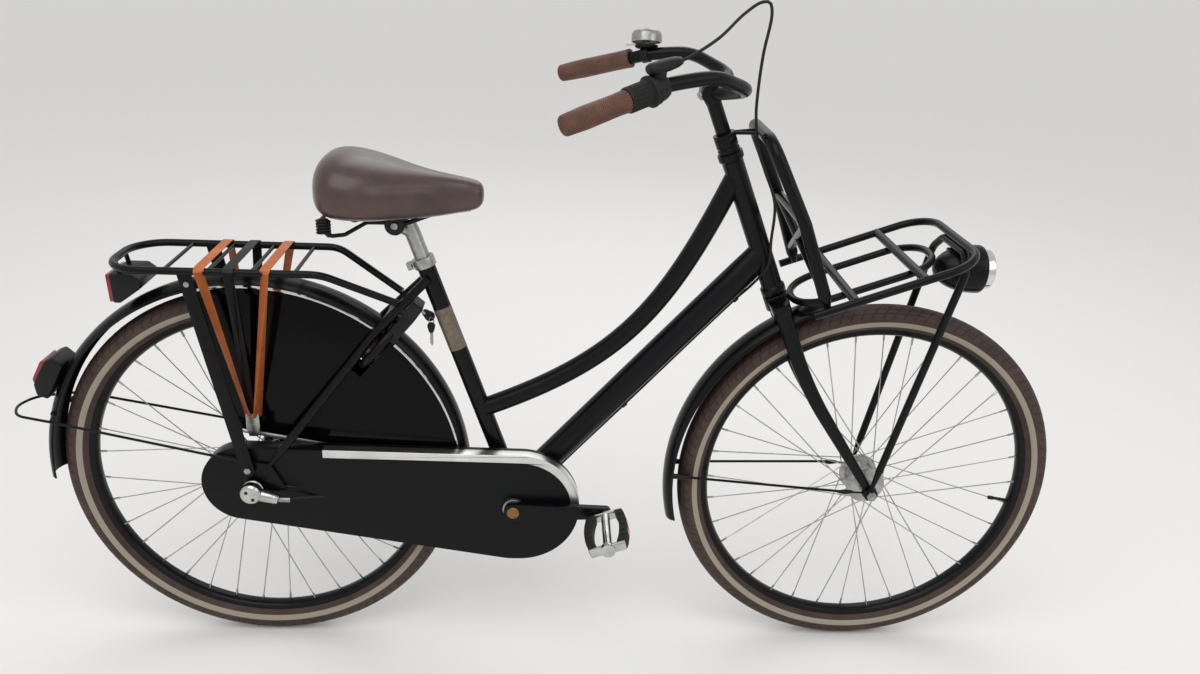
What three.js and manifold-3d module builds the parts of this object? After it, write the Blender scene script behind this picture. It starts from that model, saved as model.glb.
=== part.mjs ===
// A Dutch city bicycle, in millimetres: X forward, Y to the left, Z up.
// Shapes are drawn from the point under the rear axle.
// The exported group stands with its box's bottom centre on zero.
import * as THREE from "three";
import { mergeVertices } from "three/addons/utils/BufferGeometryUtils.js";
import Module from "manifold-3d";

const wasm = await Module();
wasm.setup();
const { PI, cos, sin, tan, atan2, sqrt, max, min, ceil, abs, hypot } = Math;
const degree = PI / 180;
const RIGHT = -1;
const LEFT = 1;

// Running gap between touching pieces, and how far a cut runs past what it cuts.
const clear = 0.3;
const overrun = 60;
const weld = 0.001;

// Facets round a form, by its size.
const facets = { large: 10, round: 8, pin: 6, rod: 6, wire: 5, rail: 6 };

// Frame layout.
const wheelRadius = 358;
const bracketSetback = 468;
const bracketDrop = 38;
const headReach = 408;
const headRise = 532;
const headAngle = 67.5 * degree;
const seatAngle = 70.4 * degree;
const forkRake = 52;
const rearSpacing = 130;
const frontSpacing = 100;

// Tubes of the frame.
const seatTube = { radius: 16, length: 480, boreDepth: 290 };
const headTube = { radius: 18.5, below: 127, above: 128, cup: 22, cupHeight: 14 };
const downTube = { radius: 25, meetBelow: 51, neck: 70, neckWidth: 17.5 };
const topTube = { radius: 17.5, meetUp: 183, meetAbove: 100, startAngle: 22 * degree, handle: 270,
  endWidth: 15 };
const shell = { radius: 21, halfWidth: 36 };
const stay = { radius: 8, topWidth: 18, topDrop: 26, midWidth: 40, midX: 225, midZ: 655, tipX: 24,
  tipZ: 394, tipHeight: 11 };
const chainStay = { radii: [10, 9.5, 8.5, 7.5, 5.5], widths: [20, 28.5, 35.5, 50, 63] };
const dropout = { thickness: 5, holeX: -6, holeZ: 397, hub: 15, eye: 12 };
const bridge = { radius: 6, orbit: 403 };
const seatClamp = { wall: 3.5, height: 18, overlap: 8, lip: 4, ear: 9, earWidth: 14 };

// Wheels.
const tyre = { section: 23.5, tread: 5, bead: 309, beadWidth: 8.6, segments: 30 };
const rim = { outer: 317, inner: 300, width: 12.5, wall: 2, floor: 306.5, base: 7 };
const spoke = { count: 36, radius: 1.2, tip: 1.9, tipWidth: 2.5, lace: 1.7, crosses: 3, sides: 3 };
const axle = { radius: 5, nut: 9.5, nutHeight: 8 };
const rearHub = { flange: 37, pitch: 33, barrel: 29, flangeRight: -27, flangeLeft: 30, right: -40,
  left: 58, brake: 33 };
const frontHub = { flange: 36, pitch: 32, barrel: 24, flangeRight: -26, flangeLeft: 26, right: -44,
  left: 44, brake: 13 };
const flangeThickness = 4;

// Drive.
const chainLine = 46;
const chainring = { teeth: 38, thickness: 3, boss: 20 };
const sprocket = { teeth: 19, thickness: 3, boss: 18 };
const chainPitch = 12.7;
const chain = { plate: 1.2, inner: 2.4, height: 4.2, web: 2.4, step: 18 * degree };
const crank = { length: 170, inner: 71, outer: 84, hubRadius: 19, eyeRadius: 13.5, spindle: 8.5, cap: 14,
  capHeight: 3 };
const pedal = { axle: 6, inner: 88, outer: 198, reach: 40, block: 15, bow: 7, thickness: 22,
  tilt: 18 * degree };
const pedalPlate = { thickness: 5, height: 18, cap: 14, sleeve: 9 };
const chainCase = { inner: 35.7, outer: 64, wall: 2, panel: 1.8, rearX: -22, rearZ: 360, rear: 74,
  front: 104 };
const caseStretch = { near: -2, far: 14, rise: 3 };

// Fork and bars.
const crown = { below: 146, height: 20, halfWidth: 58, depth: 34 };
const steerer = { radius: 12.7, boreDepth: 150 };
const locknut = { radius: 19, from: 128.5, to: 166.5 };
const blade = { topWidth: 43, tipWidth: 52.5, top: 14, topSide: 11, tip: 8, tipSide: 6, bendRadius: 150,
  kneeDown: 305 };
const forkEnd = { thickness: 5, radius: 14 };
const stem = { quill: 11.1, radius: 12.7, clampAt: 257.6, clamp: 17, clampWidth: 22, quillFrom: 90,
  bolt: 5 };
const bar = { radius: 11, reach: 235, halfWidth: 272, rise: 32, tipDrop: 24, straight: 180, sides: 8 };
const grip = { radius: 17, end: 4, right: 112, left: 145, neck: 15.5 };
const twist = { length: 34, radius: 19, flange: 22, flangeHeight: 5 };
const shifter = { length: 26, radius: 20, pod: 13, podLift: 24, podLength: 60, podNose: 10,
  podTilt: 12 * degree };
const bell = { along: 176, radius: 27.5, height: 24, wall: 2, rim: 8, strap: 3, strapWidth: 14, post: 6,
  base: 21, baseTop: 3 };
const bellLever = { pivot: 15, radius: 3.5, length: 27, width: 10, thickness: 3, depth: 5 };

// Mudguards.
const guard = { outer: 386, halfWidth: 29, wall: 2, depth: 15, shoulder: 4, hanger: 6, fitting: 4.5 };
const rearGuard = { from: -1 * degree, to: 182 * degree, steps: 18 };
const frontGuard = { from: 109 * degree, to: 195 * degree, steps: 10 };
const guardStay = { radius: 2.5, loopReach: 432, loopZ: 478, bendX: -345, bendWidth: 62, tailX: -415,
  tailWidth: 40, lugAngle: 161.3 * degree };

// Carriers.
const carrier = { radius: 6.5, halfWidth: 78, overGuard: 26, tail: -270, bendX: 145, bend: 60, bars: 6,
  barRadius: 3 };
carrier.height = wheelRadius + guard.outer + carrier.overGuard;
const carrierBars = { from: -200, to: 105 };
const strut = { width: 23, thickness: 4, top: -77, gap: 75, bolt: 4 };
const rack = { radius: 7, halfWidth: 139, rear: 963, front: 1236, slope: 20.6 * degree, levelX: 1050,
  levelZ: 775 };
const rackBars = { radius: 8, places: [1031, 1142], corner: 60 };
const rackHoop = { radius: 6.5, halfWidth: 66, rear: 957, front: 1203, drop: 13, corner: 48 };
const rackBack = { radius: 11, brace: 8, foot: 5, footX: 983, kneeX: 944, kneeZ: 888, topX: 874,
  topZ: 1018 };
const rackBackWidths = { knee: 110, top: 88 };
const rackBackBend = 40;
const rackStay = { radius: 7, footSide: 3, kneeX: 1231, kneeWidth: 80, bend: 24, foot: 13, eyeGap: 59 };
const tieRod = { radius: 3, spread: 9 };

// Lamps and reflector.
const lamp = { radius: 43, back: 79, skirt: 16, ahead: 48, bezel: 18, lens: 34, drop: 2, ledge: 5 };
lamp.centreX = rack.front + lamp.ahead;
const tailLamp = { angle: 152 * degree, depth: 39, up: 42, down: 40, halfWidth: 30 };
const reflector = { depth: 53, inset: 27, bottom: 682, top: 740, halfWidth: 40, arm: 4, armWidth: 22,
  armInset: 6 };
reflector.rear = carrier.tail + reflector.inset;
reflector.front = reflector.rear + reflector.depth;
reflector.armX = carrier.tail + reflector.armInset;

// Coat guards and straps.
const coat = { gap: 29.3, thickness: 1.5, trim: 2 };
const strap = { width: 11, thickness: 1.6, shoulder: 2, hookX: -2, hookWidth: 35, hookZ: 452,
  hookLength: 16, hookThickness: 6 };
const strapPlaces = [-50, -3, 57];

// Ring lock.
const lock = { angle: 49.6 * degree, orbit: 345, ring: 52, half: 8, reach: 138 * degree, bore: 5.6,
  steps: 14 };
const lockTop = { halfWidth: 40, rise: 58, back: 5, front: 17, lugAlong: 84, lug: 6 };
const shackle = { radius: 4.5, tip: 134 * degree, sweep: 146 * degree, knobAt: 46 * degree, stem: 3,
  knob: 6, knobHeight: 9, steps: 10 };
const lockKey = { bow: 10, offset: 6, thickness: 3, shank: 3.5, blade: 12 };

// Side stand.
const stand = { x: 190, y: 62, z: 315, boss: 10, bossLength: 14, leg: 7, length: 318, foot: 9 };
const standFolded = new THREE.Vector3(-336, 4, -15).normalize();
const standOut = new THREE.Vector3(40, 98, -315).normalize();

// Saddle.
const post = { radius: 13.6, overBore: 40, showing: 76 };
post.insert = seatTube.length - seatTube.boreDepth + post.overBore;
post.top = seatTube.length + post.showing;
const saddle = { rear: 132, nose: 411, halfWidth: 105, top: 964, bottom: 855, sides: 18 };
const railWire = { radius: 3.5, spread: 21, z: 846, nose: 388, noseSpread: 8, noseZ: 863, rearX: 182,
  rearZ: 830, pin: 4 };
const railRear = { spread: 62, endX: 152, bend: 12 };
const saddleClamp = { x: 262, z: 843, radius: 18, halfWidth: 27 };

// Gear cable.
const cable = { radius: 2.5, sides: 5, lowerSteps: 28, upperSteps: 26 };
const brakeArm = { reach: 150, z: 350, gap: 70.4, thickness: 3.2, width: 16, clip: 4 };
const unit = { length: 27.5, radius: 19, noseX: 46, noseZ: 344, nose: 11, ferrule: 5 };

const v = (x, y, z) => new THREE.Vector3(x, y, z);
const X = v(1, 0, 0);
const Y = v(0, 1, 0);
const Z = v(0, 0, 1);
const side = (s, x, y, z) => v(x, s * y, z);
const polar = (centre, radius, angle, y = 0) => v(centre.x + radius * cos(angle), y,
  centre.z + radius * sin(angle));
const around = (radius, sides) => (radius + clear) / cos(PI / sides);

const rearAxle = v(0, 0, wheelRadius);
const bracket = v(bracketSetback, 0, wheelRadius - bracketDrop);
const seatDir = v(-cos(seatAngle), 0, sin(seatAngle));
const headDir = v(-cos(headAngle), 0, sin(headAngle));
const headPoint = v(bracket.x + headReach, 0, bracket.z + headRise);
const onHead = (t) => headPoint.clone().addScaledVector(headDir, t);
const onSeat = (t) => bracket.clone().addScaledVector(seatDir, t);
const axleLevel = (wheelRadius - headPoint.z) / headDir.z;
const frontAxle = v(onHead(axleLevel).x + forkRake / headDir.z, 0, wheelRadius);

// Closed solid from any geometry, its faces turned outwards.
function solid(geometry) {
  const loose = geometry.index ? geometry.toNonIndexed() : geometry;
  const bare = new THREE.BufferGeometry().setAttribute("position", loose.getAttribute("position"));
  const merged = mergeVertices(bare, weld);
  const index = merged.index.array;
  const kept = [];
  for (let i = 0; i < index.length; i += 3) {
    const [a, b, c] = [index[i], index[i + 1], index[i + 2]];
    if (a !== b && b !== c && c !== a) kept.push(a, b, c);
  }
  const vertProperties = merged.attributes.position.array;
  const build = (list) => new wasm.Manifold(new wasm.Mesh({ numProp: 3, vertProperties,
    triVerts: new Uint32Array(list) }));
  const made = build(kept);
  if (made.volume() > 0) return made;
  return build(kept.reverse());
}

const join = (...solids) => solids.reduce((sum, next) => sum.add(next));
const cut = (body, ...tools) => tools.reduce((rest, tool) => rest.subtract(tool), body);

// Rings of points joined into a closed skin; a loop has no end caps.
function skin(rings, loop = false) {
  const count = rings[0].length;
  const spots = [];
  const quad = (a, b, c, d) => spots.push(a, b, c, a, c, d);
  const last = loop ? rings.length : rings.length - 1;
  for (let i = 0; i < last; i++) {
    const here = rings[i];
    const next = rings[(i + 1) % rings.length];
    for (let k = 0; k < count; k++) quad(here[k], here[(k + 1) % count], next[(k + 1) % count], next[k]);
  }
  if (!loop) {
    for (const [ring, turned] of [[rings[0], true], [rings[rings.length - 1], false]]) {
      const axis = ring[1].clone().sub(ring[0]).cross(ring[2].clone().sub(ring[1])).normalize();
      const u = ring[1].clone().sub(ring[0]).normalize();
      const w = axis.cross(u);
      const flat = ring.map((p) => new THREE.Vector2(p.clone().sub(ring[0]).dot(u),
        p.clone().sub(ring[0]).dot(w)));
      for (const [a, b, c] of THREE.ShapeUtils.triangulateShape(flat, [])) {
        if (turned) spots.push(ring[a], ring[c], ring[b]);
        else spots.push(ring[a], ring[b], ring[c]);
      }
    }
  }
  return solid(new THREE.BufferGeometry().setFromPoints(spots));
}

// Points of a polyline whose inner corners are rounded with arcs.
function bend(points, radius, step = 30 * degree) {
  const made = [points[0]];
  for (let i = 1; i < points.length - 1; i++) {
    const before = points[i - 1].clone().sub(points[i]);
    const after = points[i + 1].clone().sub(points[i]);
    const turn = PI - before.angleTo(after);
    if (turn < degree) {
      made.push(points[i]);
      continue;
    }
    const reach = min(radius * tan(turn / 2), before.length() * 0.49, after.length() * 0.49);
    const from = points[i].clone().addScaledVector(before.normalize(), reach);
    const to = points[i].clone().addScaledVector(after.normalize(), reach);
    const count = max(1, ceil(turn / step));
    const arc = reach / tan(turn / 2);
    const centre = points[i].clone().addScaledVector(before.add(after).normalize(), hypot(reach, arc));
    for (let k = 0; k <= count; k++) {
      const share = k / count;
      const spoke = from.clone().sub(centre);
      const other = to.clone().sub(centre);
      const weight = (part) => sin(part * turn) / sin(turn);
      made.push(centre.clone().addScaledVector(spoke, weight(1 - share)).addScaledVector(other,
        weight(share)));
    }
  }
  made.push(points[points.length - 1]);
  return made;
}

// Round or oval tube along points; radii are one number, or one number or pair for each point.
function tube(path, radii, sides, phase = 0, loop = false) {
  const ends = loop ? [...path.slice(1), path[0]] : path.slice(1);
  const unitSteps = ends.map((p, i) => p.clone().sub(path[i]).normalize());
  let across = Y.clone();
  if (abs(unitSteps[0].dot(Y)) > cos(30 * degree)) across = Z.clone();
  const rings = path.map((p, i) => {
    const before = i === 0 && loop ? unitSteps[unitSteps.length - 1] : unitSteps[max(i - 1, 0)];
    const after = unitSteps[min(i, unitSteps.length - 1)];
    const along = before.clone().add(after).normalize();
    across = across.clone().addScaledVector(along, -across.dot(along)).normalize();
    const up = along.clone().cross(across);
    const size = Array.isArray(radii) ? radii[i] : radii;
    const [wide, tall] = Array.isArray(size) ? size : [size, size];
    return Array.from({ length: sides }, (_, k) => {
      const turn = phase + (k / sides) * 2 * PI;
      return p.clone().addScaledVector(across, wide * cos(turn)).addScaledVector(up, tall * sin(turn));
    });
  });
  return skin(rings, loop);
}

const rod = (a, b, radius, sides = facets.rod) => tube([a, b], radius, sides);
const crossRod = (x, z, y0, y1, radius, sides = facets.pin) => rod(v(x, y0, z), v(x, y1, z), radius, sides);

// Points of a profile turned round an axis: [radius, place along the axis].
function turned(profile, at, along, segments) {
  const points = profile.map(([radius, height]) => new THREE.Vector2(radius, height));
  if (profile[0][0] > 0) points.push(points[0]);
  const lathe = new THREE.LatheGeometry(points, segments);
  lathe.applyQuaternion(new THREE.Quaternion().setFromUnitVectors(Y, along));
  lathe.translate(at.x, at.y, at.z);
  return solid(lathe);
}

// Flat piece: an outline drawn on two axes from a point, as thick as told, towards their cross product.
function plate(outline, thickness, at, across = X, up = Z) {
  const shape = new THREE.Shape(outline.map(([a, b]) => new THREE.Vector2(a, b)));
  const made = new THREE.ExtrudeGeometry(shape, { depth: thickness, bevelEnabled: false });
  const out = across.clone().cross(up);
  made.applyMatrix4(new THREE.Matrix4().makeBasis(across, up, out).setPosition(at));
  return solid(made);
}

// Flat piece in the X-Z plane between two heights of Y.
const sidePlate = (outline, low, high) => plate(outline, high - low, v(0, high, 0));
const box = (low, high) =>
  sidePlate([[low.x, low.z], [high.x, low.z], [high.x, high.z], [low.x, high.z]], low.y, high.y);

// Outline round a row of discs, as a belt would run.
function belt(discs, step = 20 * degree) {
  const outline = [];
  discs.forEach((disc, i) => {
    const before = discs[(i + discs.length - 1) % discs.length];
    const after = discs[(i + 1) % discs.length];
    const tangent = (a, b) => {
      const run = hypot(b.x - a.x, b.z - a.z);
      return atan2(b.z - a.z, b.x - a.x) - PI / 2 - Math.asin((b.r - a.r) / run);
    };
    const start = tangent(before, disc);
    let turn = tangent(disc, after) - start;
    while (turn < 0) turn += 2 * PI;
    const count = max(1, ceil(turn / step));
    for (let k = 0; k <= count; k++) {
      const angle = start + (turn * k) / count;
      outline.push([disc.x + disc.r * cos(angle), disc.z + disc.r * sin(angle)]);
    }
  });
  return outline;
}

const looks = {
  paint: [0x1c1d21, 0.38, 0.1],
  satin: [0x202125, 0.55, 0.1],
  steel: [0xb4b5b3, 0.35, 0.9],
  chrome: [0xd8d9d6, 0.12, 1],
  tyre: [0x5a3a2b, 0.85, 0],
  grip: [0x7d4c35, 0.75, 0],
  rubber: [0x1b1b1c, 0.85, 0],
  plastic: [0x1a1a1c, 0.6, 0],
  orange: [0xc9682c, 0.6, 0],
  red: [0x7c1f22, 0.25, 0],
  saddle: [0x2a2425, 0.7, 0],
};

function mesh(name, body, look) {
  const made = body.getMesh();
  const flat = new Float32Array(made.numVert * 3);
  for (let i = 0; i < made.numVert; i++) {
    flat.set(made.vertProperties.subarray(i * made.numProp, i * made.numProp + 3), i * 3);
  }
  const geometry = new THREE.BufferGeometry();
  geometry.setAttribute("position", new THREE.BufferAttribute(flat, 3));
  geometry.setIndex(new THREE.BufferAttribute(made.triVerts, 1));
  const [color, roughness, metalness] = looks[look];
  const node = new THREE.Mesh(geometry, new THREE.MeshStandardMaterial({ color, roughness, metalness }));
  node.name = name;
  return node;
}

// Frame tubes: each has a plain form and one grown by the clearance, which cuts its neighbours.
const frameSides = 10;
const seatTubeForm = (grow) => tube([onSeat(0), onSeat(seatTube.length + grow)], seatTube.radius + grow,
  frameSides);
const shellForm = (grow) =>
  crossRod(bracket.x, bracket.z, -shell.halfWidth - grow, shell.halfWidth + grow, shell.radius + grow,
    facets.large);

function headTubeForm() {
  const bore = steerer.radius + 2.2 * clear;
  const inner = headTube.radius - seatClamp.wall;
  const { below, above, cup, cupHeight, radius } = headTube;
  const profile = [
    [bore, -below], [cup, -below], [cup, cupHeight - below], [radius, cupHeight - below],
    [radius, above - cupHeight], [cup, above - cupHeight], [cup, above], [bore, above],
    [bore, above - cupHeight], [inner, above - cupHeight], [inner, cupHeight - below],
      [bore, cupHeight - below],
  ];
  return turned(profile, headPoint, headDir, facets.large);
}
const headSpace = rod(onHead(-headTube.below), onHead(headTube.above),
  around(headTube.radius, facets.large), facets.large);
const lowerCupSpace = rod(onHead(-headTube.below - clear),
  onHead(headTube.cupHeight - headTube.below + clear),
  around(headTube.cup, facets.large), facets.large);

const downEnd = onHead(-downTube.meetBelow);
const downDir = downEnd.clone().sub(bracket).normalize();
const downUnder = v(downDir.z, 0, -downDir.x);
const downForm = (grow) => {
  const run = downEnd.distanceTo(bracket);
  const marks = [0, run - downTube.neck, run - downTube.neck / 3, run];
  const full = downTube.radius + grow;
  const widths = [full, full, (full + downTube.neckWidth + grow) / 2, downTube.neckWidth + grow];
  return tube(marks.map((m) => bracket.clone().addScaledVector(downDir, m)),
    widths.map((w) => [w, full]), facets.round);
};

const topStart = onSeat(topTube.meetUp);
const topEnd = onHead(topTube.meetAbove);
const topCurve = new THREE.CubicBezierCurve3(
  topStart,
  v(topStart.x + topTube.handle * cos(topTube.startAngle), 0,
    topStart.z + topTube.handle * sin(topTube.startAngle)),
  v(topEnd.x - topTube.handle * cos(headAngle), 0, topEnd.z - topTube.handle * sin(headAngle)),
  topEnd,
);
function topForm(grow) {
  const steps = 12;
  const path = topCurve.getPoints(steps);
  const side = (i) => (i < 2 ? topTube.endWidth : topTube.radius) + grow;
  return tube(path, path.map((_, i) => [side(i), topTube.radius + grow]), facets.round);
}

const stayTop = onSeat(seatTube.length - stay.topDrop);
const stayPath = (s) => [
  side(s, stayTop.x, stay.topWidth, stayTop.z),
  side(s, stay.midX, stay.midWidth, stay.midZ),
  side(s, stay.tipX, rearSpacing / 2 + dropout.thickness / 2, stay.tipZ),
];
function stayForm(s, grow) {
  const path = stayPath(s);
  const near = path[1].clone().lerp(path[2], 0.85);
  const radius = stay.radius + grow;
  return tube([path[0], path[1], near, path[2]], [radius, radius, radius,
    [dropout.thickness / 2 + grow, stay.tipHeight + grow]], frameSides);
}
const chainStayX = [bracket.x - 4, 400, 334, 150, 46];
const chainStayZ = [bracket.z + 1, 329, 335, 346, 355];
const chainStayPath = (s) => chainStayX.map((x, i) => side(s, x, chainStay.widths[i], chainStayZ[i]));
const chainStayForm = (s, grow) => tube(chainStayPath(s), chainStay.radii.map((r) => r + grow), frameSides);

function dropoutForm(s, grow = 0) {
  const low = rearSpacing / 2 - grow;
  const high = rearSpacing / 2 + dropout.thickness + grow;
  const hub = v(rearAxle.x, 0, rearAxle.z);
  const outline = belt([
    { x: hub.x, z: hub.z, r: dropout.hub + grow },
    { x: chainStayX[4], z: chainStayZ[4], r: chainStay.radii[4] + 1 * grow + dropout.thickness },
    { x: stay.tipX, z: stay.tipZ, r: dropout.eye + grow },
    { x: dropout.holeX, z: dropout.holeZ, r: dropout.eye + grow },
  ]);
  return sidePlate(outline, min(s * low, s * high), max(s * low, s * high));
}
const axleSpace = crossRod(rearAxle.x, rearAxle.z, -overrun * 2, overrun * 2,
  around(axle.radius, facets.pin), facets.pin);
const spindleSpace = crossRod(bracket.x, bracket.z, -overrun * 2, overrun * 2,
  around(crank.spindle, facets.round), facets.round);

const frame = new THREE.Group();
const postSpace = tube([onSeat(seatTube.length - seatTube.boreDepth), onSeat(seatTube.length + overrun)],
  around(post.radius, frameSides), frameSides);
frame.add(mesh("head_tube", headTubeForm(), "paint"));
frame.add(mesh("seat_tube", cut(join(seatTubeForm(0), shellForm(0)), postSpace, spindleSpace), "paint"));
frame.add(mesh("top_tube", cut(topForm(0), headSpace, seatTubeForm(clear)), "paint"));

const unitFrom = rearSpacing / 2 + dropout.thickness + axle.nutHeight / 2 + 2 * clear;
const unitTo = unitFrom + unit.length;
const cableClipShares = [0.42, 0.86];
const cableUnder = (share, drop = cable.radius) =>
  bracket.clone().lerp(downEnd, share).addScaledVector(downUnder, downTube.radius + clear + drop);
const meet = onHead(118).add(v(46, -38, 0));
const lowerRoute = [
  meet,
  meet.clone().addScaledVector(headDir, -60),
  v(902, -33, 838),
  v(903, -27, 792),
  cableUnder(0.92).add(v(0, -5, 0)),
  cableUnder(cableClipShares[1]),
  cableUnder(cableClipShares[0]),
  cableUnder(0.14),
  v(486, -6, 293),
  v(452, -15, 291),
  v(400, -29, 312),
  v(330, -38, 320),
  v(240, -46, 327),
  v(150, -56, 333),
  v(98, -68, 338),
  v(unit.noseX + unit.nose / 2, -(unitFrom + unitTo) / 2, unit.noseZ),
];
const cableForm = (route, steps, grow) => {
  const curve = new THREE.CatmullRomCurve3(route, false, "centripetal");
  return tube(curve.getSpacedPoints(steps), cable.radius + grow, cable.sides);
};
const lowerCable = cableForm(lowerRoute, cable.lowerSteps, 0);
const lowerCableSpace = cableForm(lowerRoute, cable.lowerSteps, clear);

function cableClip(share) {
  const at = cableUnder(share);
  const along = downDir.clone().multiplyScalar(cable.radius * 2);
  return rod(at.clone().sub(along), at.clone().add(along), cable.radius * 2.4, facets.rod);
}
frame.add(mesh("down_tube", cut(
  join(downForm(0), cableClip(cableClipShares[0]), cableClip(cableClipShares[1])),
  headSpace, lowerCupSpace, shellForm(clear), seatTubeForm(clear), lowerCableSpace,
), "paint"));

const standPivot = v(stand.x, stand.y, stand.z);
const standAxis = standFolded.clone().cross(standOut).normalize();
const standOutward = standAxis.clone().negate();
function standBoss() {
  const from = standPivot.clone().addScaledVector(standOutward, -stand.bossLength / 2);
  const to = standPivot.clone().addScaledVector(standOutward, stand.bossLength / 2);
  const stayAt = v(stand.x, chainStay.widths[3] - 2 * clear, chainStayZ[3] - 4 * clear);
  return join(rod(from, to, stand.boss, facets.pin), rod(stayAt, from.clone().lerp(to, 0.3), stand.leg,
    facets.rod));
}
const rackEnd = v(262, 31, 706);
function chainStayNode(s) {
  const body = cut(join(chainStayForm(s, 0), dropoutForm(s)), shellForm(clear), axleSpace,
    stayForm(s, clear));
  if (s === LEFT) return join(body, standBoss());
  return body;
}
frame.add(mesh("right_chain_stay", cut(chainStayNode(RIGHT), lowerCableSpace), "paint"));
frame.add(mesh("left_chain_stay", chainStayNode(LEFT), "paint"));

const stayLine = (share) => v(
  stayTop.x + (stay.midX - stayTop.x) * share, 0, stayTop.z + (stay.midZ - stayTop.z) * share);
const bridgeAt = stayLine(0.76);
const bridgeWidth = stay.topWidth + (stay.midWidth - stay.topWidth) * 0.76;
frame.add(mesh("seat_stays", cut(
  join(stayForm(RIGHT, 0), stayForm(LEFT, 0), crossRod(bridgeAt.x, bridgeAt.z, -bridgeWidth, bridgeWidth,
    bridge.radius)),
  seatTubeForm(clear),
), "paint"));

function seatClampForm() {
  const from = seatTube.length - seatClamp.overlap;
  const to = from + seatClamp.height;
  const outer = seatTube.radius + seatClamp.wall;
  const lip = around(post.radius, facets.large);
  const inner = around(seatTube.radius, facets.large);
  const step = seatTube.length + clear;
  const ring = turned(
    [[inner, from], [outer, from], [outer, to], [lip, to], [lip, step], [inner, step]], bracket, seatDir,
      facets.large);
  const back = v(-seatDir.z, 0, seatDir.x);
  const middle = onSeat((from + to) / 2);
  const ear = rod(
    middle.clone().addScaledVector(back, outer - seatClamp.wall / 2).addScaledVector(Y, 0),
    middle.clone().addScaledVector(back, outer + seatClamp.ear), seatClamp.height * 0.4, facets.rod);
  const boltAt = middle.clone().addScaledVector(back, outer + seatClamp.ear / 2);
  const bolt = rod(boltAt.clone().addScaledVector(Y, -seatClamp.earWidth),
    boltAt.clone().addScaledVector(Y, seatClamp.earWidth),
    seatClamp.lip, facets.rod);
  return join(ring, ear, bolt);
}
frame.add(mesh("seat_clamp", seatClampForm(), "steel"));

// Mudguard blade: an arched section swept round the wheel.
function guardForm(centre, span, grow = 0) {
  const { outer, halfWidth, wall, depth, shoulder } = guard;
  const top = outer + grow;
  const wide = halfWidth + grow;
  const inside = wall + 2 * grow;
  const section = [
    [-wide, top - depth], [-wide * 0.72, top - shoulder], [-wide * 0.3, top], [wide * 0.3, top],
    [wide * 0.72, top - shoulder], [wide, top - depth],
    [wide - inside, top - depth], [(wide - inside) * 0.66, top - shoulder - inside],
    [-(wide - inside) * 0.66, top - shoulder - inside], [-(wide - inside), top - depth],
  ];
  const rings = [];
  for (let i = 0; i <= span.steps; i++) {
    const angle = span.from + ((span.to - span.from) * i) / span.steps;
    rings.push(section.map(([y, radius]) => polar(centre, radius, angle, y)));
  }
  return skin(rings);
}
const guardEdge = (centre, angle, s) => polar(centre, guard.outer - guard.depth + guard.wall, angle,
  s * (guard.halfWidth - guard.wall / 2));

// Carrier rails, bars and tail.
const carrierFront = (s) => side(s, rackEnd.x, rackEnd.y, rackEnd.z);
function carrierRails(grow) {
  const path = bend([
    carrierFront(RIGHT),
    side(RIGHT, carrier.bendX, carrier.halfWidth, carrier.height),
    side(RIGHT, carrier.tail, carrier.halfWidth, carrier.height),
    side(LEFT, carrier.tail, carrier.halfWidth, carrier.height),
    side(LEFT, carrier.bendX, carrier.halfWidth, carrier.height),
    carrierFront(LEFT),
  ], carrier.bend);
  return tube(path, carrier.radius + grow, facets.rail, PI / facets.rail);
}
function carrierForm() {
  const bars = Array.from({ length: carrier.bars }, (_, i) => {
    const x = carrierBars.from + ((carrierBars.to - carrierBars.from) * i) / (carrier.bars - 1);
    return crossRod(x, carrier.height, -carrier.halfWidth, carrier.halfWidth, carrier.barRadius,
      facets.wire);
  });
  return cut(join(carrierRails(0), ...bars), stayForm(RIGHT, clear), stayForm(LEFT, clear));
}
frame.add(mesh("rear_rack", carrierForm(), "satin"));

function strutForm(s) {
  const low = strut.gap;
  const high = low + strut.thickness;
  const outline = belt([
    { x: dropout.holeX, z: dropout.holeZ, r: strut.width / 2 },
    { x: strut.top, z: carrier.height - carrier.radius, r: strut.width / 2 },
  ]);
  const boltFrom = rearSpacing / 2 + dropout.thickness + clear;
  const bolt = crossRod(dropout.holeX, dropout.holeZ, s * boltFrom, s * (high + 2), strut.bolt, facets.rod);
  return cut(join(sidePlate(outline, min(s * low, s * high), max(s * low, s * high)), bolt),
    carrierRails(clear));
}
frame.add(mesh("right_rack_strut", strutForm(RIGHT), "satin"));
frame.add(mesh("left_rack_strut", strutForm(LEFT), "satin"));

// Rear mudguard with its wire loop, and a lug up to the bridge between the seat stays.
function rearGuardForm() {
  const { radius, loopReach, loopZ, bendX, bendWidth, tailX, tailWidth, lugAngle } = guardStay;
  const foot = (s) => side(s, dropout.holeX, rearSpacing / 2 + dropout.thickness + radius,
    dropout.holeZ + dropout.eye);
  const bendAt = (s) => side(s, bendX, bendWidth, loopZ);
  const tail = (s) => side(s, tailX, tailWidth, loopZ);
  const loop = bend([
    foot(RIGHT), bendAt(RIGHT), tail(RIGHT), v(-loopReach, 0, loopZ), tail(LEFT), bendAt(LEFT), foot(LEFT),
  ], tailWidth);
  const wires = tube(loop, radius, facets.wire);
  const lug = (s) => rod(guardEdge(rearAxle, lugAngle, s), bendAt(s), radius, facets.wire);
  const bridgeAngle = atan2(bridgeAt.z - rearAxle.z, bridgeAt.x - rearAxle.x);
  const hanger = rod(polar(rearAxle, guard.outer - guard.wall, bridgeAngle),
    polar(rearAxle, bridge.orbit, bridgeAngle), guard.hanger, facets.rod);
  const bridgeSpace = crossRod(bridgeAt.x, bridgeAt.z, -overrun, overrun, bridge.radius + clear);
  return join(guardForm(rearAxle, rearGuard), wires, lug(RIGHT), lug(LEFT), cut(hanger, bridgeSpace));
}
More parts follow.
